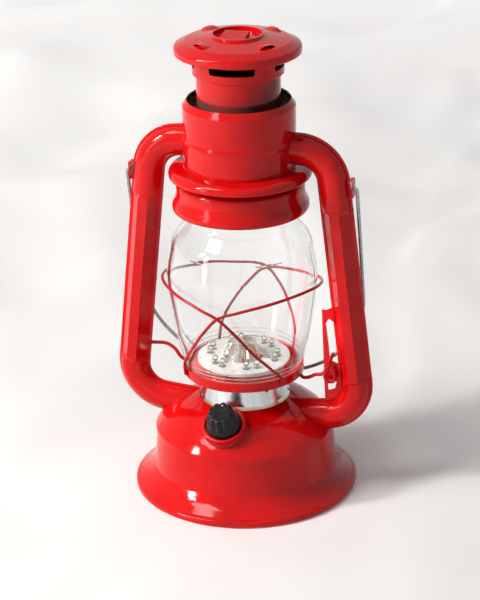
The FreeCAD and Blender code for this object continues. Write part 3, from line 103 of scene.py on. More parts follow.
class Graph:
    """The node tree of a material or a world while it is put together."""

    EDGE_SCALE = 160.0
    INWARD = (-0.012, -0.004)

    def __init__(self, block: bpy.types.Material | bpy.types.World, output: str) -> None:
        """Starts an empty tree with an output.

        Args:
            block: The material or world.
            output: Blender's name of its output node.
        """
        self.block = block
        block.use_nodes = True
        self.tree = block.node_tree
        self.tree.nodes.clear()
        self.output = self.add(output)

    @property
    def place(self) -> Socket:
        """Coordinates on the piece, in metres."""
        return self.add("ShaderNodeTexCoord").outputs["Object"]

    def add(self, kind: str, **settings: object) -> bpy.types.Node:
        """Adds a node.

        Args:
            kind: Blender's name of the node type.
            **settings: Properties to set on it.

        Returns:
            The node.
        """
        node = self.tree.nodes.new(kind)
        for name, value in settings.items():
            setattr(node, name, value)
        return node

    def fill(self, node: bpy.types.Node, name: str | int, value: object) -> None:
        """Sets an input, or links it where the value is a socket.

        Args:
            node: The node.
            name: Name or number of its input.
            value: A number, a colour or an output socket.
        """
        if isinstance(value, Socket):
            self.tree.links.new(value, node.inputs[name])
        else:
            node.inputs[name].default_value = (*value, 1.0) if isinstance(value, tuple) else value

    def compute(self, operation: str, *values: object) -> Socket:
        """Works out a sum.

        Args:
            operation: Blender's name of it.
            *values: Numbers or sockets.

        Returns:
            Its result.
        """
        node = self.add("ShaderNodeMath", operation=operation)
        for index, value in enumerate(values):
            self.fill(node, index, value)
        return node.outputs[0]

    def shader(self, **inputs: object) -> Socket:
        """Adds the main shader.

        Args:
            **inputs: Its inputs, with spaces as underscores.

        Returns:
            Its surface.
        """
        node = self.add("ShaderNodeBsdfPrincipled")
        for name, value in inputs.items():
            self.fill(node, name.replace("_", " "), value)
        return node.outputs[0]

    def stretched(self, grain: Grain) -> Socket:
        """Coordinates that draw noise out along a grain.

        Args:
            grain: The direction of the marks.

        Returns:
            The scaled coordinates.
        """
        if grain is Grain.EVEN:
            return self.place
        node = self.add("ShaderNodeMapping")
        self.fill(node, "Vector", self.place)
        node.inputs["Scale"].default_value = grain.value
        return node.outputs["Vector"]

    def noise(self, scale: float, detail: float = 2.0, grain: Grain = Grain.EVEN) -> Socket:
        """Adds a noise.

        Args:
            scale: Waves per metre.
            detail: Number of finer layers.
            grain: The direction of the marks.

        Returns:
            Its value, around 0.5.
        """
        node = self.add("ShaderNodeTexNoise")
        self.fill(node, "Vector", self.stretched(grain))
        self.fill(node, "Scale", scale)
        self.fill(node, "Detail", detail)
        return node.outputs["Fac"]

    def remap(self, value: Socket, low: float, high: float, to_low: float = 0.0,
              to_high: float = 1.0) -> Socket:
        """Maps a range of a value onto another, held at its ends.

        Args:
            value: The value.
            low: Start of its range.
            high: End of its range.
            to_low: What the start becomes.
            to_high: What the end becomes.

        Returns:
            The mapped value.
        """
        node = self.add("ShaderNodeMapRange")
        for index, given in enumerate((value, low, high, to_low, to_high)):
            self.fill(node, index, given)
        return node.outputs["Result"]

    def blend(self, share: Socket, first: object, second: object) -> Socket:
        """Mixes two colours.

        Args:
            share: Share of the second.
            first: Colour or socket.
            second: Colour or socket.

        Returns:
            The mixed colour.
        """
        node = self.add("ShaderNodeMix", data_type="RGBA")
        for index, value in ((0, share), (6, first), (7, second)):
            self.fill(node, index, value)
        return node.outputs[2]

    def either(self, share: Socket, first: Socket, second: Socket) -> Socket:
        """Mixes two surfaces.

        Args:
            share: Share of the second.
            first: Surface.
            second: Surface.

        Returns:
            The mixed surface.
        """
        node = self.add("ShaderNodeMixShader")
        for index, value in enumerate((share, first, second)):
            self.fill(node, index, value)
        return node.outputs[0]

    def seen(self) -> Socket:
        """One for rays from the camera, mirrored rays and rays through glass, else nothing."""
        rays = self.add("ShaderNodeLightPath").outputs
        straight = self.compute("MAXIMUM", rays["Is Camera Ray"], rays["Is Transmission Ray"])
        return self.compute("MAXIMUM", straight, rays["Is Glossy Ray"])

    def along(self, axis: str) -> Socket:
        """Place along X, Y or Z, in metres."""
        split = self.add("ShaderNodeSeparateXYZ")
        self.fill(split, 0, self.place)
        return split.outputs[axis]

    def relief(self, height: Socket, depth: float, under: Socket | None = None) -> Socket:
        """Turns a height into shading relief.

        Args:
            height: The height, 0 to 1.
            depth: Its depth in metres.
            under: Relief that this one lies on.

        Returns:
            The normal.
        """
        node = self.add("ShaderNodeBump")
        self.fill(node, "Distance", depth)
        self.fill(node, "Height", height)
        if under is not None:
            self.fill(node, "Normal", under)
        return node.outputs["Normal"]

    def height_band(self, low: float, high: float, soft: float) -> Socket:
        """One between two heights, in metres, and nothing elsewhere.

        Args:
            low: Lower edge.
            high: Upper edge.
            soft: Width of the fade.

        Returns:
            The share.
        """
        wobble = self.noise(self.EDGE_SCALE, 3.0)
        moved = self.compute("MULTIPLY_ADD", wobble, soft, self.along("Z"))
        up = self.remap(moved, low, low + soft)
        down = self.remap(moved, high, high + soft, 1.0, 0.0)
        return self.compute("MULTIPLY", up, down)

    def inward(self, share: float) -> Socket:
        """A share on the faces that look towards the lantern's axis.

        Args:
            share: What those faces get.

        Returns:
            The share there, and nothing elsewhere.
        """
        flat = self.add("ShaderNodeVectorMath", operation="MULTIPLY")
        self.fill(flat, 0, self.place)
        flat.inputs[1].default_value = (1.0, 1.0, 0.0)
        facing = self.add("ShaderNodeVectorMath", operation="DOT_PRODUCT")
        self.fill(facing, 0, flat.outputs["Vector"])
        self.fill(facing, 1, self.add("ShaderNodeTexCoord").outputs["Normal"])
        return self.remap(facing.outputs["Value"], *self.INWARD, share, 0.0)

    def done(self, surface: Socket) -> None:
        """Links the surface to the output."""
        self.fill(self.output, "Surface", surface)


@dataclass(frozen=True)
class Finish:
    """A finish, made into a material once.

    Lengths are in millimetres and scales in waves per metre, unless a finish says otherwise.
    """

    name: str

    def material(self) -> bpy.types.Material:
        """The material, built at its first use.

        Returns:
            The material.
        """
        label = f"{self.name}_finish"
        found = bpy.data.materials.get(label)
        if found is None:
            found = bpy.data.materials.new(label)
            self.build(Graph(found, "ShaderNodeOutputMaterial"))
        return found

    def build(self, graph: Graph) -> None:
        """Puts the material together in a graph."""
        raise NotImplementedError


@dataclass(frozen=True)
class Enamel(Finish):
    """Fired or sprayed gloss paint on sheet steel."""

    colour: Colour = paint(218, 12, 14)
    deep: Colour = paint(198, 8, 11)
    gloss: float = 0.085
    shine: float = 0.22
    ripple: float = 0.05
    worn_from: float = 0.0
    worn_to: float = 0.0
    worn: Colour = paint(92, 66, 58)
    worn_edge: float = 1.6
    chips: float = 0.0
    bare: Colour = paint(70, 34, 32)
    # Painted shade and reflection on the +X side, partly burnt paint: whether to add it, and its
    # colour.
    shaded_and_scorched: bool = False
    shade_and_scorch: Colour = paint(84, 40, 36)
    # Painted shade: its share on the faces that look towards the axis, and its colour.
    inside_shade: float = 0.0
    painted_shade: Colour = paint(20, 13, 13)
    tone_scale: float = 26.0
    haze_scale: float = 240.0
    peel_scale: float = 310.0
    dust_scale: float = 2400.0
    wear_scale: float = 90.0
    shade_and_scorch_scale: float = 55.0
    chip_scale: float = 520.0
    dust_depth: float = 0.004

    def build(self, graph: Graph) -> None:
        """Tone that drifts, faint orange peel, wear where the finish has it, and painted shade
        where it has that.

        Args:
            graph: The graph to fill.
        """
        tone = graph.remap(graph.noise(self.tone_scale, 3.0), 0.35, 0.7)
        colour = graph.blend(tone, self.colour, self.deep)
        haze = graph.noise(self.haze_scale, 3.0)
        rough = graph.remap(haze, 0.3, 0.75, self.gloss * 0.8, self.gloss * 1.4)
        if self.worn_to > self.worn_from:
            colour = graph.blend(self.worn_share(graph), colour, self.worn)
        # Painted shade and reflection on the +X side, partly burnt paint.
        if self.shaded_and_scorched:
            colour = graph.blend(self.shade_and_scorch_share(graph), colour, self.shade_and_scorch)
        # Painted shade darkens the faces that look towards the axis, inside the mouths of the
        # pieces.
        if self.inside_shade:
            colour = graph.blend(graph.inward(self.inside_shade), colour, self.painted_shade)
        if self.chips:
            colour = graph.blend(self.chip_share(graph), colour, self.bare)
        peel = graph.relief(graph.noise(self.peel_scale, 1.0), self.ripple * MM)
        dust = graph.relief(graph.noise(self.dust_scale, 2.0), self.dust_depth * MM, peel)
        graph.done(graph.shader(Base_Color=colour, Roughness=rough, Normal=dust,
                                Specular_IOR_Level=self.shine))

    def worn_share(self, graph: Graph) -> Socket:
        """Where the paint is rubbed through, in patches between two heights."""
        band = graph.height_band(self.worn_from * MM, self.worn_to * MM, self.worn_edge * MM)
        patches = graph.remap(graph.noise(self.wear_scale, 4.0), 0.3, 0.6, 0.35, 1.0)
        return graph.compute("MULTIPLY", band, patches)

    def shade_and_scorch_share(self, graph: Graph) -> Socket:
        """Painted shade and reflection on the side towards +X, away from the lamps, mixed with
        burnt paint, in patches.
        """
        side = graph.remap(graph.along("X"), 0.012, 0.026)
        shade_and_scorch_patches = graph.remap(graph.noise(self.shade_and_scorch_scale, 4.0), 0.32, 0.6, 0.25, 0.85)
        return graph.compute("MULTIPLY", side, shade_and_scorch_patches)

    def chip_share(self, graph: Graph) -> Socket:
        """Where small chips show the steel."""
        edge = 0.74 - 0.04 * self.chips
        return graph.remap(graph.noise(self.chip_scale, 2.0), edge, edge + 0.03)


@dataclass(frozen=True)
class Metal(Finish):
    """Bare metal, with its scratches along a grain."""

    colour: Colour = paint(190, 190, 192)
    dull: Colour = paint(150, 148, 146)
    gloss: float = 0.28
    grain: Grain = Grain.EVEN
    fineness: float = 700.0
    depth: float = 0.01
    stain_from: float = 0.0
    stain_to: float = 0.0
    stain: Colour = paint(170, 132, 82)
    stain_edge: float = 1.5
    haze_scale: float = 60.0

    def build(self, graph: Graph) -> None:
        """Streaked tone and roughness, and a stain where the finish has one.

        Args:
            graph: The graph to fill.
        """
        marks = graph.noise(self.fineness, 3.0, self.grain)
        colour = graph.blend(graph.remap(marks, 0.35, 0.68), self.colour, self.dull)
        if self.stain_to > self.stain_from:
            band = graph.height_band(self.stain_from * MM, self.stain_to * MM, self.stain_edge * MM)
            colour = graph.blend(graph.compute("MULTIPLY", band, 0.75), colour, self.stain)
        haze = graph.noise(self.haze_scale, 3.0, self.grain)
        rough = graph.remap(haze, 0.3, 0.7, self.gloss * 0.75, self.gloss * 1.35)
        normal = graph.relief(marks, self.depth * MM)
        graph.done(graph.shader(Base_Color=colour, Metallic=1.0, Roughness=rough, Normal=normal))


@dataclass(frozen=True)
class Plastic(Finish):
    """Moulded plastic or rubber, with a fine texture and dust."""

    colour: Colour = paint(40, 40, 42)
    second: Colour = paint(28, 28, 30)
    gloss: float = 0.4
    specks: float = 0.0
    speck: Colour = paint(196, 196, 190)
    depth: float = 0.02
    shine: float = 0.4
    tone_scale: float = 130.0
    speck_scale: float = 1300.0
    haze_scale: float = 420.0
    mould_scale: float = 1900.0

    def build(self, graph: Graph) -> None:
        """Two tones, moulding texture and specks.

        Args:
            graph: The graph to fill.
        """
        tone = graph.remap(graph.noise(self.tone_scale, 3.0), 0.35, 0.7)
        colour = graph.blend(tone, self.colour, self.second)
        if self.specks:
            edge = 0.76 - 0.05 * self.specks
            dust = graph.remap(graph.noise(self.speck_scale, 1.0), edge, edge + 0.03)
            colour = graph.blend(graph.compute("MULTIPLY", dust, 0.8), colour, self.speck)
        haze = graph.noise(self.haze_scale, 2.0)
        rough = graph.remap(haze, 0.3, 0.7, self.gloss * 0.85, self.gloss * 1.25)
        normal = graph.relief(graph.noise(self.mould_scale, 2.0), self.depth * MM)
        graph.done(graph.shader(Base_Color=colour, Roughness=rough, Normal=normal,
                                Specular_IOR_Level=self.shine))


@dataclass(frozen=True)
class Clear(Finish):
    """Glass or clear resin, which lets light through to what is inside."""

    tint: Colour = (0.997, 1.0, 0.998)
    gloss: float = 0.0
    bend: float = 1.47
    waves: float = 0.02
    wave_scale: float = 45.0
    shine: float = 0.4
    shadow: Colour = (0.93, 0.93, 0.93)

    def build(self, graph: Graph) -> None:
        """Clear body with drawn waves, and light shadows.

        Args:
            graph: The graph to fill.
        """
        normal = graph.relief(graph.noise(self.wave_scale, 1.0), self.waves * MM)
        body = graph.shader(Base_Color=self.tint, Roughness=self.gloss, IOR=self.bend,
                            Transmission_Weight=1.0, Normal=normal, Specular_IOR_Level=self.shine)
        open_way = graph.add("ShaderNodeBsdfTransparent")
        graph.fill(open_way, "Color", self.shadow)
        shadow_ray = graph.add("ShaderNodeLightPath").outputs["Is Shadow Ray"]
        graph.done(graph.either(shadow_ray, body, open_way.outputs[0]))


@dataclass(frozen=True)
class Cloth(Finish):
    """The white sheet that the lantern stands on, lifted a little where it is seen or mirrored.

    Distances are in metres.
    """

    colour: Colour = paint(246, 243, 240)
    shade: Colour = paint(238, 234, 231)
    glow: Colour = (1.0, 0.985, 0.97)
    lift: float = 0.1
    far_lift: float = 0.65
    near: float = 0.2
    far: float = 1.7
    tone_scale: float = 7.0
    weave_scale: float = 900.0
    weave_depth: float = 0.00005

    def build(self, graph: Graph) -> None:
        """Nearly white cotton with a faint weave.

        Args:
            graph: The graph to fill.
        """
        tone = graph.remap(graph.noise(self.tone_scale, 3.0), 0.3, 0.7)
        tone = graph.blend(tone, self.colour, self.shade)
        weave = graph.relief(graph.noise(self.weave_scale, 1.0), self.weave_depth)
        away = graph.add("ShaderNodeVectorMath", operation="LENGTH")
        graph.fill(away, 0, graph.place)
        lift = graph.remap(away.outputs["Value"], self.near, self.far, self.lift, self.far_lift)
        lift = graph.compute("MULTIPLY", graph.seen(), lift)
        graph.done(graph.shader(Base_Color=tone, Roughness=0.9, Normal=weave,
                                Specular_IOR_Level=0.2, Emission_Color=self.glow,
                                Emission_Strength=lift))


RED = Enamel("red_enamel", chips=0.4)
# Enamel with painted shade on its inward faces, for the canister and the vent collar.
RED_SHADED_INSIDE = Enamel("red_painted_shade_inside", chips=0.4, inside_shade=0.9)
# Chimney enamel with painted shade on its +X side and inward faces, mixed with burnt paint on that
# side.
RED_CHIMNEY = Enamel("red_chimney", deep=paint(170, 12, 15), worn_from=266.0, worn_to=273.5,
                     shaded_and_scorched=True, inside_shade=0.95)
RED_CAP = Enamel("red_cap", chips=0.8, ripple=0.08)
RED_WIRE = Enamel("red_wire", colour=paint(196, 22, 28), deep=paint(160, 14, 20), gloss=0.2,
                  ripple=0.02, chips=0.6)
RED_RING = Enamel("red_ring", gloss=0.18, ripple=0.02)
BLACK_PAINT = Enamel("black_paint", colour=paint(30, 30, 32), deep=paint(20, 20, 22), gloss=0.3)
BURNER = Metal("burner_steel", colour=paint(216, 216, 219), dull=paint(186, 186, 190), gloss=0.2,
               grain=Grain.UPRIGHT, fineness=160.0, depth=0.002, stain_from=63.2, stain_to=65.6,
               stain=paint(176, 146, 72))
BRIGHT = Metal("bright_steel", colour=paint(205, 205, 208), gloss=0.25)
STEEL = Metal("plain_steel", colour=paint(160, 160, 164), dull=paint(112, 112, 116), gloss=0.35)
BAIL_STEEL = Metal("bail_steel", colour=paint(178, 180, 182), dull=paint(132, 134, 136), gloss=0.34,
                   fineness=500.0)
CELL = Metal("cell_jacket", colour=paint(176, 176, 180), dull=paint(140, 140, 146), gloss=0.3,
             grain=Grain.UPRIGHT)
KNOB = Plastic("knob_plastic", colour=paint(20, 20, 23), second=paint(10, 10, 12), gloss=0.27,
               shine=0.22, specks=0.35)
BLACK_PLASTIC = Plastic("black_plastic", colour=paint(36, 36, 38), gloss=0.5)
BOARD_GREEN = Plastic("circuit_board", colour=paint(24, 92, 54), second=paint(16, 74, 44),
                      gloss=0.35)
RED_LEAD = Plastic("red_insulation", colour=paint(188, 26, 26), second=paint(160, 20, 20))
BLACK_LEAD = Plastic("black_insulation", colour=paint(30, 30, 30))
WHITE = Plastic("white_plastic", colour=paint(232, 231, 226), second=paint(218, 216, 210))
DISC = Plastic("light_board", colour=paint(206, 204, 198), second=paint(190, 187, 181), gloss=0.25,
               specks=0.2, speck=paint(150, 150, 150), depth=0.01)
PHOSPHOR = Plastic("phosphor", colour=paint(228, 214, 158), second=paint(214, 196, 130), gloss=0.5)
GLASS = Clear("globe_glass")
LED_RESIN = Clear("led_resin", tint=(0.97, 0.98, 1.0), gloss=0.04, bend=1.45, waves=0.005,
                  wave_scale=300.0)
# Grey for painted dark outlines, standing in for the refraction at the edges of clear LED domes.
LED_OUTLINE = Plastic("led_painted_outline", colour=paint(88, 86, 84), second=paint(60, 58, 58), gloss=0.3)
CROWN = Metal("crown_reflector", colour=paint(236, 231, 225), dull=paint(176, 146, 116), gloss=0.05,
              grain=Grain.UPRIGHT, fineness=150.0, depth=0.001)
# Black for painted shade, under the cap's louvres where there is only shadow.
BLACK_SHADE = Plastic("painted_shade", colour=paint(16, 14, 14), second=paint(10, 9, 9), gloss=0.8)
FOOT_GLASS = Clear("foot_glass", tint=(0.96, 0.97, 0.96), waves=0.0)


def circle_of(count: int, start: float = 0.0) -> list[float]:
    """Angles in radians, evenly round a circle."""
    return [start + 2 * math.pi * step / count for step in range(count)]


def polar(radius: float, turn: float, rise: float = 0.0) -> Vector:
    """Point at a radius, an angle in radians and a height."""
    return Vector((radius * math.cos(turn), radius * math.sin(turn), rise))


def within_one(value: float) -> float:
    """A value, held between nought and one."""
    return max(0.0, min(1.0, value))


def put(name: str, data: bpy.types.ID) -> bpy.types.Object:
    """Makes an object of some data and puts it in the scene."""
    thing = bpy.data.objects.new(name, data)
    bpy.context.scene.collection.objects.link(thing)
    return thing


def shape(name: str, form: Skin, finish: Finish, body: Body,
          sharp: float = 32.0) -> bpy.types.Object:
    """Makes a piece.

    Args:
        name: Name of the piece.
        form: Its points in millimetres, and its faces.
        finish: Its finish.
        body: The body it rides on.
        sharp: Edges over this angle stay crisp, in degrees.

    Returns:
        The piece.
    """
    points, faces = form
    mesh = bpy.data.meshes.new(name)
    mesh.from_pydata([tuple(point * MM) for point in points], [], faces)
    clean = bmesh.new()
    clean.from_mesh(mesh)
    bmesh.ops.recalc_face_normals(clean, faces=clean.faces)
    clean.to_mesh(mesh)
    clean.free()
    mesh.shade_smooth()
    mesh.set_sharp_from_angle(angle=math.radians(sharp))
    mesh.materials.append(finish.material())
    piece = put(name, mesh)
    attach(piece, body.value)
    LOG.info("%s, %d faces", name, len(faces))
    return piece


def skin(rings: Sequence[Sequence[Vector]], looped: bool = False) -> Skin:
    """Joins closed rings of points into a skin.

    Args:
        rings: The rings, all of one length.
        looped: Whether the last ring joins the first. Otherwise both are closed.

    Returns:
        Points and faces.
    """
    count, size = len(rings), len(rings[0])
    points = [point for ring in rings for point in ring]
    faces: list[list[int]] = []
    for row in range(count if looped else count - 1):
        here, there = row * size, (row + 1) % count * size
        for step in range(size):
            following = (step + 1) % size
            faces.append([here + step, here + following, there + following, there + step])
    if not looped:
        faces.append(list(range(size))[::-1])
        faces.append([(count - 1) * size + step for step in range(size)])
    return points, faces


def stacked(outline: Sequence[Corner], count: int, middle: Vector) -> Skin:
    """Stacks level circles of the outline's radii and heights over a middle."""
    return skin([[middle + polar(radius, turn, rise) for turn in circle_of(count)]
                 for radius, rise in outline])


def spun(outline: Sequence[Corner], count: int, middle: Vector = ORIGIN) -> Skin:
    """Turns a closed outline of radii and heights round the axis over a middle."""
    return skin([[middle + polar(radius, turn, rise) for radius, rise in outline]
                 for turn in circle_of(count)], looped=True)


def hoop(band: Corner, turns: int, bends: int, middle: Vector = ORIGIN) -> Skin:
    """Makes a level ring of round section.

    Args:
        band: Its radius, its height and the radius of its section.
        turns: Number of sections round it.
        bends: Number of points round a section.
        middle: What its height is measured from.

    Returns:
        Points and faces.
    """
    radius, rise, thick = band
    section = [(radius + thick * math.cos(bend), rise + thick * math.sin(bend))
               for bend in circle_of(bends)]
    return spun(section, turns, middle)


def merged(parts: Iterable[Skin]) -> Skin:
    """Puts several skins into one.

    Args:
        parts: Points and faces of each.

    Returns:
        Points and faces of all.
    """
    points: list[Vector] = []
    faces: list[list[int]] = []
    for more_points, more_faces in parts:
        start = len(points)
        points.extend(more_points)
        faces.extend([[start + index for index in face] for face in more_faces])
    return points, faces


def route(corners: Sequence[Corner], step: float) -> list[tuple[Vector, Vector]]:
    """Stations along straights and bends in the X-Z plane.

    Args:
        corners: X, Z and the bend's radius at each corner.
        step: Distance between stations.

    Returns:
        Place and direction at each station.
    """
    spots = [Vector((corner[0], 0.0, corner[1])) for corner in corners]
    found: list[tuple[Vector, Vector]] = []

    def straight(start: Vector, end: Vector) -> None:
        """Adds stations along a straight.

        Args:
            start: Where it starts.
            end: Where it ends.
        """
        run = end - start
        count = max(1, round(run.length / step))
        for number in range(count):
            found.append((start + run * (number / count), run.normalized()))

    here = spots[0]
    for index in range(1, len(spots) - 1):
        corner = spots[index]
        back = (spots[index - 1] - corner).normalized()
        onward = (spots[index + 1] - corner).normalized()
        half = math.acos(max(-1.0, min(1.0, back.dot(onward)))) / 2
        radius = corners[index][2]
        start = corner + back * (radius / math.tan(half))
        middle = corner + (back + onward).normalized() * (radius / math.sin(half))
        straight(here, start)
        sweep = math.pi - 2 * half
        side = (start - middle).normalized()
        count = max(2, round(radius * sweep / step))
        for number in range(count):
            angle = sweep * number / count
            place = middle + (side * math.cos(angle) - back * math.sin(angle)) * radius
            found.append((place, (-back * math.cos(angle) - side * math.sin(angle)).normalized()))
        here = corner + onward * (radius / math.tan(half))
    straight(here, spots[-1])
    found.append((spots[-1], (spots[-1] - spots[-2]).normalized()))
    return found


def wear(nodes: Sequence[str], finish: Finish) -> None:
    """Gives CAD nodes their finish.

    Args:
        nodes: Names of the nodes.
        finish: The finish.
    """
    for name in nodes:
        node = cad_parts[name]
        node.data.materials.clear()
        node.data.materials.append(finish.material())
        LOG.info("%s wears %s", name, finish.name)


@dataclass
class SideTubes:
    """The two air tubes, each pressed in two halves and crimped along its leg."""

    corners: tuple[Corner, ...] = ((30.0, 240.0), (60.3, 240.0, 22.5), (80.2, 57.2, 23.5),
                                   (24.0, 51.9))
    step: float = 0.9
    wall: float = 9.3
    across: tuple[float, ...] = (1.0, 0.985, 0.95, 0.9, 0.82, 0.72, 0.62, 0.52, 0.44, 0.39, 0.35,
                                 0.31, 0.24, 0.12, 0.0)
    depth: float = 8.5
    roundness: float = 2.1
    facet: float = 3.3
    seam: float = 10.88
    seam_half: float = 0.8
    seam_swell: float = 0.2
    leg_from: float = 50.0
    crimps: tuple[float, ...] = (200.7, 141.0, 83.0)
    crimp_half: float = 1.1
    crimp_rise: float = 0.55
    fade: float = 3.0
    upper_run: float = 200.0
    canister: float = 36.35
    lower_run: float = 70.0
    dome_edge: float = 60.2
    dome_top: float = 29.5
    dome_bend: float = 52.0
    dome_centre: Corner = (17.17, 13.29)
    dome_sunk: float = 0.3
    least: float = 0.02
    halvings: int = 14

    def half_depth(self, across: float, flat: float) -> float:
        """Depth of one half at a place across it.

        Args:
            across: Place, from minus one to one.
            flat: One where the sides are flat, nought where they are round.

        Returns:
            The depth from the middle plane.
        """
        reach = abs(across)
        rise = self.depth - self.seam_half
        rounded = self.seam_half + rise * math.sqrt(max(0.0, 1 - reach ** self.roundness))
        ledge = self.facet / self.wall
        slope = 1.0 if reach <= ledge else (1 - reach) / (1 - ledge)
        return flat * (self.seam_half + rise * slope) + (1 - flat) * rounded

    def section(self, flat: float, crimp: float) -> list[tuple[float, float]]:
        """Outline of the tube, seam edges included.

        Args:
            flat: How flat the sides are.
            crimp: How far this place is in a crimp, nought to one.

        Returns:
            Across and depth of each point.
        """
        edge = self.seam + self.seam_swell * crimp
        lip = [(0.25, 0.1), (0.0, 0.35), (0.0, 0.62), (0.25, self.seam_half)]
        front = [(edge - inset, -deep) for inset, deep in lip]
        for across in (*self.across, *(-step for step in self.across[-2::-1])):
            swell = self.crimp_rise * crimp * (1 - across ** 8)
            front.append((across * self.wall, -self.half_depth(across, flat) - swell))
        front += [(inset - edge, -deep) for inset, deep in reversed(lip)]
        return front + [(across, -deep) for across, deep in reversed(front)]

    def flatness(self, spot: Vector) -> float:
        """One on the leg between the end crimps, nought on the bends."""
        up = (self.crimps[0] - spot.z) / self.fade + 0.5
        down = (spot.z - self.crimps[-1]) / self.fade + 0.5
        return within_one(up) * within_one(down) if spot.x > self.leg_from else 0.0

    def crimp(self, spot: Vector) -> float:
        """How far a place on the leg is in a crimp."""
        near = min(abs(spot.z - height) for height in self.crimps)
        return max(0.0, 1 - (near / self.crimp_half) ** 2) if spot.x >= self.leg_from else 0.0

    def dome_height(self, radius: float) -> float:
        """Height of the dome's skin.

        Args:
            radius: Distance from the lantern's axis.

        Returns:
            The height, or nought past the dome's edge.
        """
        if radius > self.dome_edge:
            return 0.0
        middle, foot = self.dome_centre
        reach = max(radius, self.dome_top) - middle
        return foot + math.sqrt(self.dome_bend ** 2 - reach ** 2) - self.dome_sunk

    def rings(self, side: int) -> list[list[Vector]]:
        """Rings of the tube on one side, cut to the canister and the dome.

        Args:
            side: One for right, minus one for left.

        Returns:
            The rings.
        """
        rings: list[list[Vector]] = []
        for spot, way in route(self.corners, self.step):
            out = Vector((-way.z, 0.0, way.x))
            row = [spot + out * across + Vector((0.0, deep, 0.0))
                   for across, deep in self.section(self.flatness(spot), self.crimp(spot))]
            if spot.z > self.upper_run:
                for point in row:
                    point.x = max(point.x, math.sqrt(self.canister ** 2 - point.y ** 2))
            elif spot.x < self.lower_run:
                row = [self.held(point, before) for point, before in zip(row, rings[-1])]
            rings.append(row)
        kept = [rings[0]]
        for row in rings[1:]:
            if max((here - there).length for here, there in zip(row, kept[-1])) > self.least:
                kept.append(row)
        return [[Vector((side * point.x, point.y, point.z)) for point in row] for row in kept]

    def held(self, point: Vector, before: Vector) -> Vector:
        """Stops a point of the lower run at the dome.

        Args:
            point: The next point of the run.
            before: The point before it.

        Returns:
            The point, or where the run meets the dome.
        """
        def inside(spot: Vector) -> bool:
            """Whether a spot is under the dome's skin."""
            return spot.z < self.dome_height(math.hypot(spot.x, spot.y))

        if inside(before):
            return before.copy()
        if not inside(point):
            return point
        low, high = 0.0, 1.0
        for _ in range(self.halvings):
            middle = (low + high) / 2
            if inside(before.lerp(point, middle)):
                high = middle
            else:
                low = middle
        return before.lerp(point, high)

    def build(self) -> None:
        """Builds both tubes in place of their halves."""
        for side, word in ((1, "right"), (-1, "left")):
            piece = shape(f"{word}_side_tube", skin(self.rings(side)), RED, Body.FRAME,
                          24.0)
            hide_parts(f"{word}_tube_front", f"{word}_tube_back")


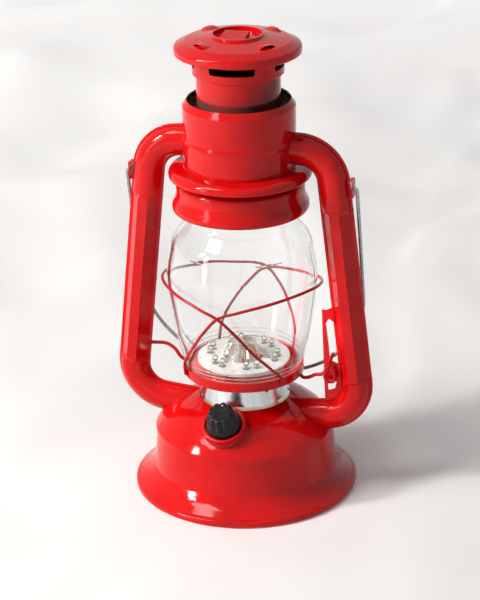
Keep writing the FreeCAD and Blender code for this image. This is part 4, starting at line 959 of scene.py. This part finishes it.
@dataclass
class DimmerSet:
    """The knob, its ring and what holds them. Rows give a radius, a height and a depth of cut."""

    foot: Corner = (0.0, -43.66, 56.37)
    tilt: float = math.radians(31.0)
    profile: tuple[Corner, ...] = (
        (6.4, -1.0), (14.3, -1.0), (14.55, 0.6), (14.6, 0.9), (14.6, 1.6), (14.6, 2.3), (14.6, 3.0),
        (14.6, 3.7), (14.6, 4.4), (14.6, 5.0), (14.6, 5.5), (14.5, 6.0), (14.55, 6.5), (14.4, 6.95),
        (14.0, 7.2), (13.1, 7.2), (12.8, 7.1), (12.7, 6.8), (12.7, 5.4), (6.4, 5.4))
    teeth: int = 54
    toothed: float = 14.58
    cut: float = 0.9
    cut_span: Corner = (0.7, 5.6)
    cut_fades: Corner = (0.5, 0.4)
    twist: float = 0.07
    knob_rows: tuple[Corner, ...] = (
        (3.0, 17.1, 0.0), (3.0, 5.9, 0.0), (11.2, 5.9, 0.0), (11.65, 6.3, 0.0), (11.8, 6.9, 0.0),
        (11.7, 8.0, 0.0), (11.35, 9.0, 0.1), (10.9, 10.2, 0.35), (10.4, 11.6, 0.7),
        (10.05, 13.0, 1.0), (9.6, 15.0, 1.25), (9.2, 17.0, 1.35), (8.9, 18.6, 1.4),
        (8.65, 19.4, 1.35), (8.2, 19.85, 1.15), (7.6, 20.05, 0.8), (6.4, 20.1, 0.2),
        (4.0, 19.95, 0.0), (1.2, 19.9, 0.0))
    lobes: int = 10
    flute_half: float = 0.8
    dot_place: Corner = (0.0, 5.7, 0.0)
    dot_rows: tuple[Corner, ...] = ((0.6, 19.8), (0.6, 20.04), (0.4, 20.09))

    def placed(self, form: Skin) -> Skin:
        """Moves a skin from the knob's own frame to the lantern's."""
        matrix = Matrix.Translation(self.foot) @ Matrix.Rotation(self.tilt, 4, "X")
        return [matrix @ point for point in form[0]], form[1]

    def knurl(self, radius: float, angle: float, rise: float) -> float:
        """How deep the slanted knurl is at a place, in millimetres.

        Args:
            radius: Radius of the ring there.
            angle: Angle round the ring.
            rise: Height along the ring.

        Returns:
            The depth.
        """
        low, high = self.cut_span
        if radius <= self.toothed or not low < rise < high:
            return 0.0
        turn = (angle + self.twist * rise) * self.teeth / (2 * math.pi)
        fade = min(1.0, (rise - low) / self.cut_fades[0], (high - rise) / self.cut_fades[1])
        return self.cut * abs(turn - round(turn)) * 2 * fade

    def flute(self, angle: float) -> float:
        """Share of the full depth that a flute of the knob has at an angle."""
        turn = angle * self.lobes / (2 * math.pi)
        off = abs(turn - round(turn)) * 2
        return 0.5 + 0.5 * math.cos(math.pi * min(1.0, off / self.flute_half))

    def build(self) -> None:
        """Builds the ring, the knob and its dot, and dresses the rest."""
        ring = [[polar(radius - self.knurl(radius, angle, rise), angle, rise)
                 for radius, rise in self.profile] for angle in circle_of(self.teeth * 6)]
        piece = shape("knurled_dimmer_ring", self.placed(skin(ring, looped=True)), RED_RING,
                      Body.FRAME, 40.0)
        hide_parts("knurled_ring")
        knob = [[polar(radius - depth * self.flute(angle), angle, rise)
                 for angle in circle_of(self.lobes * 16)] for radius, rise, depth in self.knob_rows]
        piece = shape("fluted_knob", self.placed(skin(knob)), KNOB, Body.DIMMER, 40.0)
        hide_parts("knob")
        dot = stacked(self.dot_rows, 20, Vector(self.dot_place))
        shape("knob_index_dot", self.placed(dot), WHITE, Body.DIMMER)
        wear(["dimmer_pot", "control_board"], BOARD_GREEN)
        wear(["pot_shaft", "pot_nut"], BRIGHT)


@dataclass
class Burner:
    """The silver cone and the light on top of it. Rows give a radius, a height and more."""

    tabs: int = 2
    tab_turn: float = math.radians(20)
    tab_rows: tuple[Corner, ...] = ((29.25, 67.4, 1.9), (29.6, 66.6, 2.1), (30.1, 65.2, 2.2),
                                    (30.2, 64.75, 2.1))
    tab_sheet: float = 0.35
    board_top: float = 91.9
    led_pairs: int = 6
    led_circle: float = 22.8
    led_spread: float = math.radians(9.0)
    led_rows: tuple[Corner, ...] = ((2.15, 0.0), (2.15, 0.75), (1.85, 0.85), (1.85, 3.9),
                                    (1.7, 4.6), (1.25, 5.3), (0.65, 5.7), (0.15, 5.8))
    led_outline_bands: tuple[Corner, ...] = ((2.2, 0.45, 0.2), (1.88, 3.7, 0.16))
    post_rows: tuple[Corner, ...] = ((0.55, 0.05), (0.55, 2.0), (1.25, 2.9), (1.3, 3.3))
    chip_rows: tuple[Corner, ...] = ((1.0, 3.3), (0.7, 3.6))
    crown_rows: tuple[Corner, ...] = ((13.9, 0.0, 0.0), (13.8, 0.5, 0.5), (12.9, 2.2, 1.3),
                                      (11.3, 5.6, 1.4), (9.9, 8.7, 1.3), (9.2, 9.7, 0.7),
                                      (8.4, 9.98, 0.2), (6.4, 9.3, 0.5), (2.2, 8.3, 0.1))
    crown_ribs: int = 14
    rib: tuple[float, ...] = (0.0, 0.15, 1.0, 0.15)

    def tab(self, angle: float) -> Skin:
        """A small tab at the foot of the cone.

        Args:
            angle: Where it is round the cone, in radians.

        Returns:
            Points and faces.
        """
        out = polar(1.0, angle)
        across = polar(1.0, angle + math.pi / 2)
        thick = out * self.tab_sheet
        rows = []
        for reach, rise, half in self.tab_rows:
            middle = out * reach + UP * rise
            left, right = middle - across * half, middle + across * half
            rows.append([left, right, right + thick, left + thick])
        return skin(rows)

    def leds(self) -> None:
        """Clear bullet LEDs, grey rings that paint the dark outlines seen at their clear edges, and
        the lead frame and yellow chip inside each.
        """
        spots = [polar(self.led_circle, pair + side * self.led_spread, self.board_top)
                 for pair in circle_of(self.led_pairs) for side in (-1, 1)]
        bodies = merged(stacked(self.led_rows, 28, spot) for spot in spots)
        piece = shape("clear_leds", bodies, LED_RESIN, Body.FRAME)
        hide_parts("leds")
        # Painted dark outlines, as grey rings at the foot and shoulder of each LED.
        outline_rings = merged(hoop(band, 28, 8, spot) for spot in spots for band in self.led_outline_bands)
        shape("led_painted_outlines", outline_rings, LED_OUTLINE, Body.FRAME)
        posts = merged(stacked(self.post_rows, 12, spot) for spot in spots)
        shape("led_lead_frames", posts, BRIGHT, Body.FRAME)
        chips = merged(stacked(self.chip_rows, 12, spot) for spot in spots)
        shape("led_chips", chips, PHOSPHOR, Body.FRAME)

    def build(self) -> None:
        """Builds the small pieces and dresses the burner and its light."""
        tabs = merged(self.tab(angle) for angle in circle_of(self.tabs, self.tab_turn))
        shape("burner_foot_tabs", tabs, BURNER, Body.FRAME)
        self.leds()
        crown = [[polar(reach - depth * self.rib[step % 4], turn, self.board_top + rise)
                  for step, turn in enumerate(circle_of(4 * self.crown_ribs))]
                 for reach, rise, depth in self.crown_rows]
        piece = shape("ribbed_crown", skin(crown), CROWN, Body.FRAME, 12.0)
        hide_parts("reflector_lens")
        wear(["burner_cone"], BURNER)
        wear(["led_column"], WHITE)
        wear(["led_board"], DISC)
        wear(["led_screws"], BRIGHT)


@dataclass
class GlobeFoot:
    """The rolled rings in the glass where the globe stands in its plate."""

    rings: tuple[Corner, ...] = ((38.7, 88.6, 0.55), (39.3, 91.4, 0.5), (40.4, 94.2, 0.4))

    def build(self) -> None:
        """Builds the rings as clear glass."""
        bands = merged(hoop(ring, 120, 12) for ring in self.rings)
        shape("globe_foot_rings", bands, FOOT_GLASS, Body.GLOBE)


@dataclass
class CapLipsAndShade:
    """Pressed lips over the louvres of the cap, and a black ring of painted shade under them."""

    outline: tuple[Corner, ...] = ((2.0, 310.3), (28.9, 308.95), (32.6, 308.55), (32.6, 308.3),
                                   (28.9, 308.7), (2.0, 310.0))
    louvres: tuple[float, ...] = (-35.0, 55.0, 145.0, 235.0)
    lip_half: float = 6.4
    lip_rise: float = 1.9
    lip_from: float = 24.6
    lip_to: float = 30.3
    lip_sheet: float = 0.45
    crown_height: float = 312.4
    crown_edge: float = 17.0
    crown_slope: float = 0.155

    def lip(self, heading: float) -> Skin:
        """A raised lip over one louvre, open towards the rim.

        Args:
            heading: Where the louvre is, in degrees.

        Returns:
            Points and faces.
        """
        out = polar(1.0, math.radians(heading))
        across = Vector((-out.y, out.x, 0.0))
        rows = []
        for share in (step / 8 for step in range(9)):
            reach = self.lip_from + share * (self.lip_to - self.lip_from)
            upper = []
            for aside in (place / 8 - 1 for place in range(17)):
                lift = self.lip_rise * math.sin(share * math.pi / 2) * (1 - abs(aside) ** 3)
                fall = math.hypot(reach, aside * self.lip_half) - self.crown_edge
                height = self.crown_height - self.crown_slope * fall + lift
                upper.append(out * reach + across * (aside * self.lip_half) + UP * height)
            rows.append(upper + [spot - UP * self.lip_sheet for spot in upper[::-1]])
        return skin(rows)

    def build(self) -> None:
        """Builds the lips and a thin black ring of painted shade under the louvres."""
        lips = merged(self.lip(heading) for heading in self.louvres)
        shape("cap_louvre_lips", lips, RED_CAP, Body.HOOD)
        # A black ring of painted shade, seen through the louvres.
        shape("cap_painted_shade", spun(self.outline, 96), BLACK_SHADE, Body.HOOD)


@dataclass
class EnamelWork:
    """The CAD solids that are sheet steel and wire with red enamel."""

    plates: tuple[str, ...] = ("base_skirt", "base_dome", "globe_plate", "bracket_rivets")
    cut_plates: tuple[str, ...] = ("lift_bracket", "bail_ear_left", "bail_ear_right")
    wires: tuple[str, ...] = ("guard_wire_left", "guard_wire_right", "lift_wire")
    edge: float = 0.16
    edge_angle: float = math.radians(50)

    def soften(self, name: str) -> None:
        """Breaks the cut edges of a plate.

        Args:
            name: The CAD node.
        """
        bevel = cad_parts[name].modifiers.new("broken_edge", "BEVEL")
        bevel.width = self.edge * MM
        bevel.segments = 2
        bevel.limit_method = "ANGLE"
        bevel.angle_limit = self.edge_angle

    def build(self) -> None:
        """Dresses them all."""
        wear(self.plates + self.cut_plates, RED)
        wear(self.wires, RED_WIRE)
        wear(["chimney"], RED_CHIMNEY)
        wear(["hood_cap"], RED_CAP)
        # The canister and the vent collar get painted shade on their inward faces.
        wear(["canister", "vent_collar"], RED_SHADED_INSIDE)
        for name in self.cut_plates:
            self.soften(name)


@dataclass
class SpunSheet:
    """The brim and the bell, with their rolled edges and the bell's flare."""

    brim: tuple[Corner, ...] = (
        (36.6, 226.4), (40.5, 226.38), (42.6, 226.2), (44.2, 225.7), (45.5, 224.8), (46.3, 223.5),
        (46.65, 222.0), (46.6, 220.9), (46.3, 220.2), (45.9, 220.0), (45.6, 220.3), (45.8, 221.2),
        (45.8, 222.2), (45.5, 223.3), (44.9, 224.2), (43.8, 224.95), (42.4, 225.4), (40.4, 225.58),
        (36.6, 225.6))
    bell: tuple[Corner, ...] = (
        (26.3, 216.6), (38.8, 216.6), (40.3, 216.4), (41.4, 215.7), (41.95, 214.6), (41.95, 212.0),
        (42.0, 209.5), (42.3, 207.2), (42.9, 205.3), (43.8, 203.6), (44.5, 202.0), (44.8, 200.4),
        (44.75, 199.0), (44.4, 198.0), (43.7, 197.35), (43.2, 197.2), (43.05, 197.6), (43.4, 198.1),
        (43.85, 198.9), (44.0, 200.3), (43.7, 201.8), (43.1, 203.2), (42.2, 204.9), (41.5, 207.0),
        (41.2, 209.4), (41.15, 212.0), (41.15, 214.4), (40.8, 215.2), (40.0, 215.7), (38.7, 215.8),
        (26.3, 215.8))
    steps: int = 144

    def build(self) -> None:
        """Builds both."""
        brim = shape("rolled_brim", spun(self.brim, self.steps), RED, Body.FRAME, 46.0)
        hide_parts("canister_brim")
        bell = shape("flared_bell", spun(self.bell, self.steps), RED, Body.HOOD, 46.0)
        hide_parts("bell")


@dataclass
class InnerWorks:
    """What sits inside and under the lantern, and its bare metal."""

    finishes: tuple[tuple[Finish, tuple[str, ...]], ...] = (
        (BLACK_PAINT, ("bottom_tray",)),
        (BLACK_PLASTIC, ("battery_door", "battery_holder")),
        (STEEL, ("tray_screws", "contact_plates", "spring_stop", "spring_collar", "hood_spring")),
        (CELL, ("battery_cells",)),
        (RED_LEAD, ("red_leads",)),
        (BLACK_LEAD, ("black_leads",)),
        (BAIL_STEEL, ("bail",)),
        (GLASS, ("globe",)),
    )

    def build(self) -> None:
        """Dresses them all."""
        for finish, nodes in self.finishes:
            wear(nodes, finish)


@dataclass(frozen=True)
class Lamp:
    """A soft box of daylight."""

    name: str
    place: Corner
    size: Corner
    power: float

    def hang(self, aim: Vector) -> None:
        """Hangs the box.

        Args:
            aim: The place that it points at.
        """
        light = bpy.data.lights.new(self.name, "AREA")
        light.shape = "RECTANGLE"
        light.size, light.size_y = self.size
        light.energy = self.power
        box = put(self.name, light)
        box.location = self.place
        box.rotation_euler = (aim - Vector(self.place)).to_track_quat("-Z", "Y").to_euler()


@dataclass
class Studio:
    """The white sheet, the lights and the camera. Lengths are in metres."""

    sheet_half: float = 4.0
    sheet_steps: int = 220
    sheet_crowding: float = 1.9
    sheet_sunk: float = 0.00005
    flat_to: float = 0.085
    folds_over: float = 0.16
    far_from: float = 0.3
    far_over: float = 0.5
    calm_from: float = 2.4
    calm_over: float = 1.4
    drift_rise: Corner = (0.007, 0.012)
    crease_rise: Corner = (0.010, 0.018)
    crease_level: float = 0.35
    fold_sunk: float = 0.0035
    lamps: tuple[Lamp, ...] = (Lamp("window", (-1.25, -0.85, 1.0), (0.2, 0.42), 21.0),
                               Lamp("sky", (-0.9, -0.75, 1.8), (0.7, 0.7), 19.0),
                               Lamp("door", (-1.1, -1.2, 0.5), (0.22, 0.9), 4.0))
    aim: Corner = (0.0, 0.0, 0.16)
    daylight: Colour = (0.96, 0.97, 1.0)
    daylight_strength: float = 0.18
    backdrop: Colour = (1.0, 1.0, 1.0)
    backdrop_strength: float = 0.8
    camera_place: Corner = (0.4044, -1.2827, 0.6979)
    camera_turn: Corner = (67.15, 0.0, 17.5)
    camera_roll: float = -1.16
    lens: float = 132.2
    shift: float = -0.0046

    def fold(self, x: float, y: float) -> float:
        """Height of the sheet's folds.

        Args:
            x: Place across.
            y: Place along.

        Returns:
            The height, never above the lantern's foot near it.
        """
        away = math.hypot(x, y)
        grow = within_one((away - self.flat_to) / self.folds_over)
        far = within_one((away - self.far_from) / self.far_over)
        calm = within_one((self.calm_from - away) / self.calm_over)
        spot = Vector((x * 5.2 + 1.3, y * 3.1, 0.7))
        drift = noise.noise(spot) + 0.5 * noise.noise(spot * 2.3)
        crease = abs(noise.noise(Vector((x * 6.0 + drift, y * 4.0 - drift, 3.1))))
        waves = (self.drift_rise[0] + self.drift_rise[1] * far) * drift
        creases = (self.crease_rise[0] + self.crease_rise[1] * far) * (self.crease_level - crease)
        return grow * calm * (waves + creases - self.fold_sunk)

    def sheet(self) -> None:
        """Lays the sheet, finer towards the lantern."""
        count = self.sheet_steps
        shares = [2 * step / count - 1 for step in range(count + 1)]
        places = [self.sheet_half * math.copysign(abs(share) ** self.sheet_crowding, share)
                  for share in shares]
        points = [(x, y, self.fold(x, y) - self.sheet_sunk) for y in places for x in places]
        corners = [row * (count + 1) + column for row in range(count) for column in range(count)]
        faces = [(corner, corner + 1, corner + count + 2, corner + count + 1) for corner in corners]
        mesh = bpy.data.meshes.new("white_sheet")
        mesh.from_pydata(points, [], faces)
        mesh.shade_smooth()
        mesh.materials.append(Cloth("white_cotton").material())
        piece = put("white_sheet", mesh)

    def room(self) -> None:
        """Pale surroundings, white where they are seen or mirrored."""
        world = bpy.data.worlds.new("pale_room")
        bpy.context.scene.world = world
        graph = Graph(world, "ShaderNodeOutputWorld")
        skies = []
        for colour, strength in ((self.daylight, self.daylight_strength),
                                 (self.backdrop, self.backdrop_strength)):
            sky = graph.add("ShaderNodeBackground")
            graph.fill(sky, "Color", colour)
            graph.fill(sky, "Strength", strength)
            skies.append(sky.outputs[0])
        graph.done(graph.either(graph.seen(), *skies))

    def camera(self) -> None:
        """Places the camera where the photographer stood."""
        data = bpy.data.cameras.new("camera")
        data.sensor_fit = "AUTO"
        data.sensor_width = 36.0
        data.lens = self.lens
        data.shift_x = self.shift
        data.clip_start, data.clip_end = 0.05, 30.0
        camera = put("camera", data)
        turn = Euler([math.radians(angle) for angle in self.camera_turn]).to_matrix().to_4x4()
        roll = Matrix.Rotation(math.radians(self.camera_roll), 4, "Z")
        camera.matrix_world = Matrix.Translation(self.camera_place) @ turn @ roll
        bpy.context.scene.camera = camera

    def build(self) -> None:
        """Sets up the sheet, the lights, the room and the camera."""
        self.sheet()
        for lamp in self.lamps:
            lamp.hang(Vector(self.aim))
        self.room()
        self.camera()
        bpy.context.scene.view_settings.view_transform = "Standard"
        LOG.info("studio ready")


def write_sizes() -> None:
    """Brings the view layer up to date."""
    bpy.context.view_layer.update()


def main() -> None:
    """Builds the lantern's looks in order."""
    logging.basicConfig(level=logging.INFO, format="%(name)s: %(message)s")
    for part in (EnamelWork(), SpunSheet(), SideTubes(), DimmerSet(), Burner(), GlobeFoot(),
                 CapLipsAndShade(), InnerWorks(), Studio()):
        part.build()
    write_sizes()


if __name__ == "__main__":
    main()
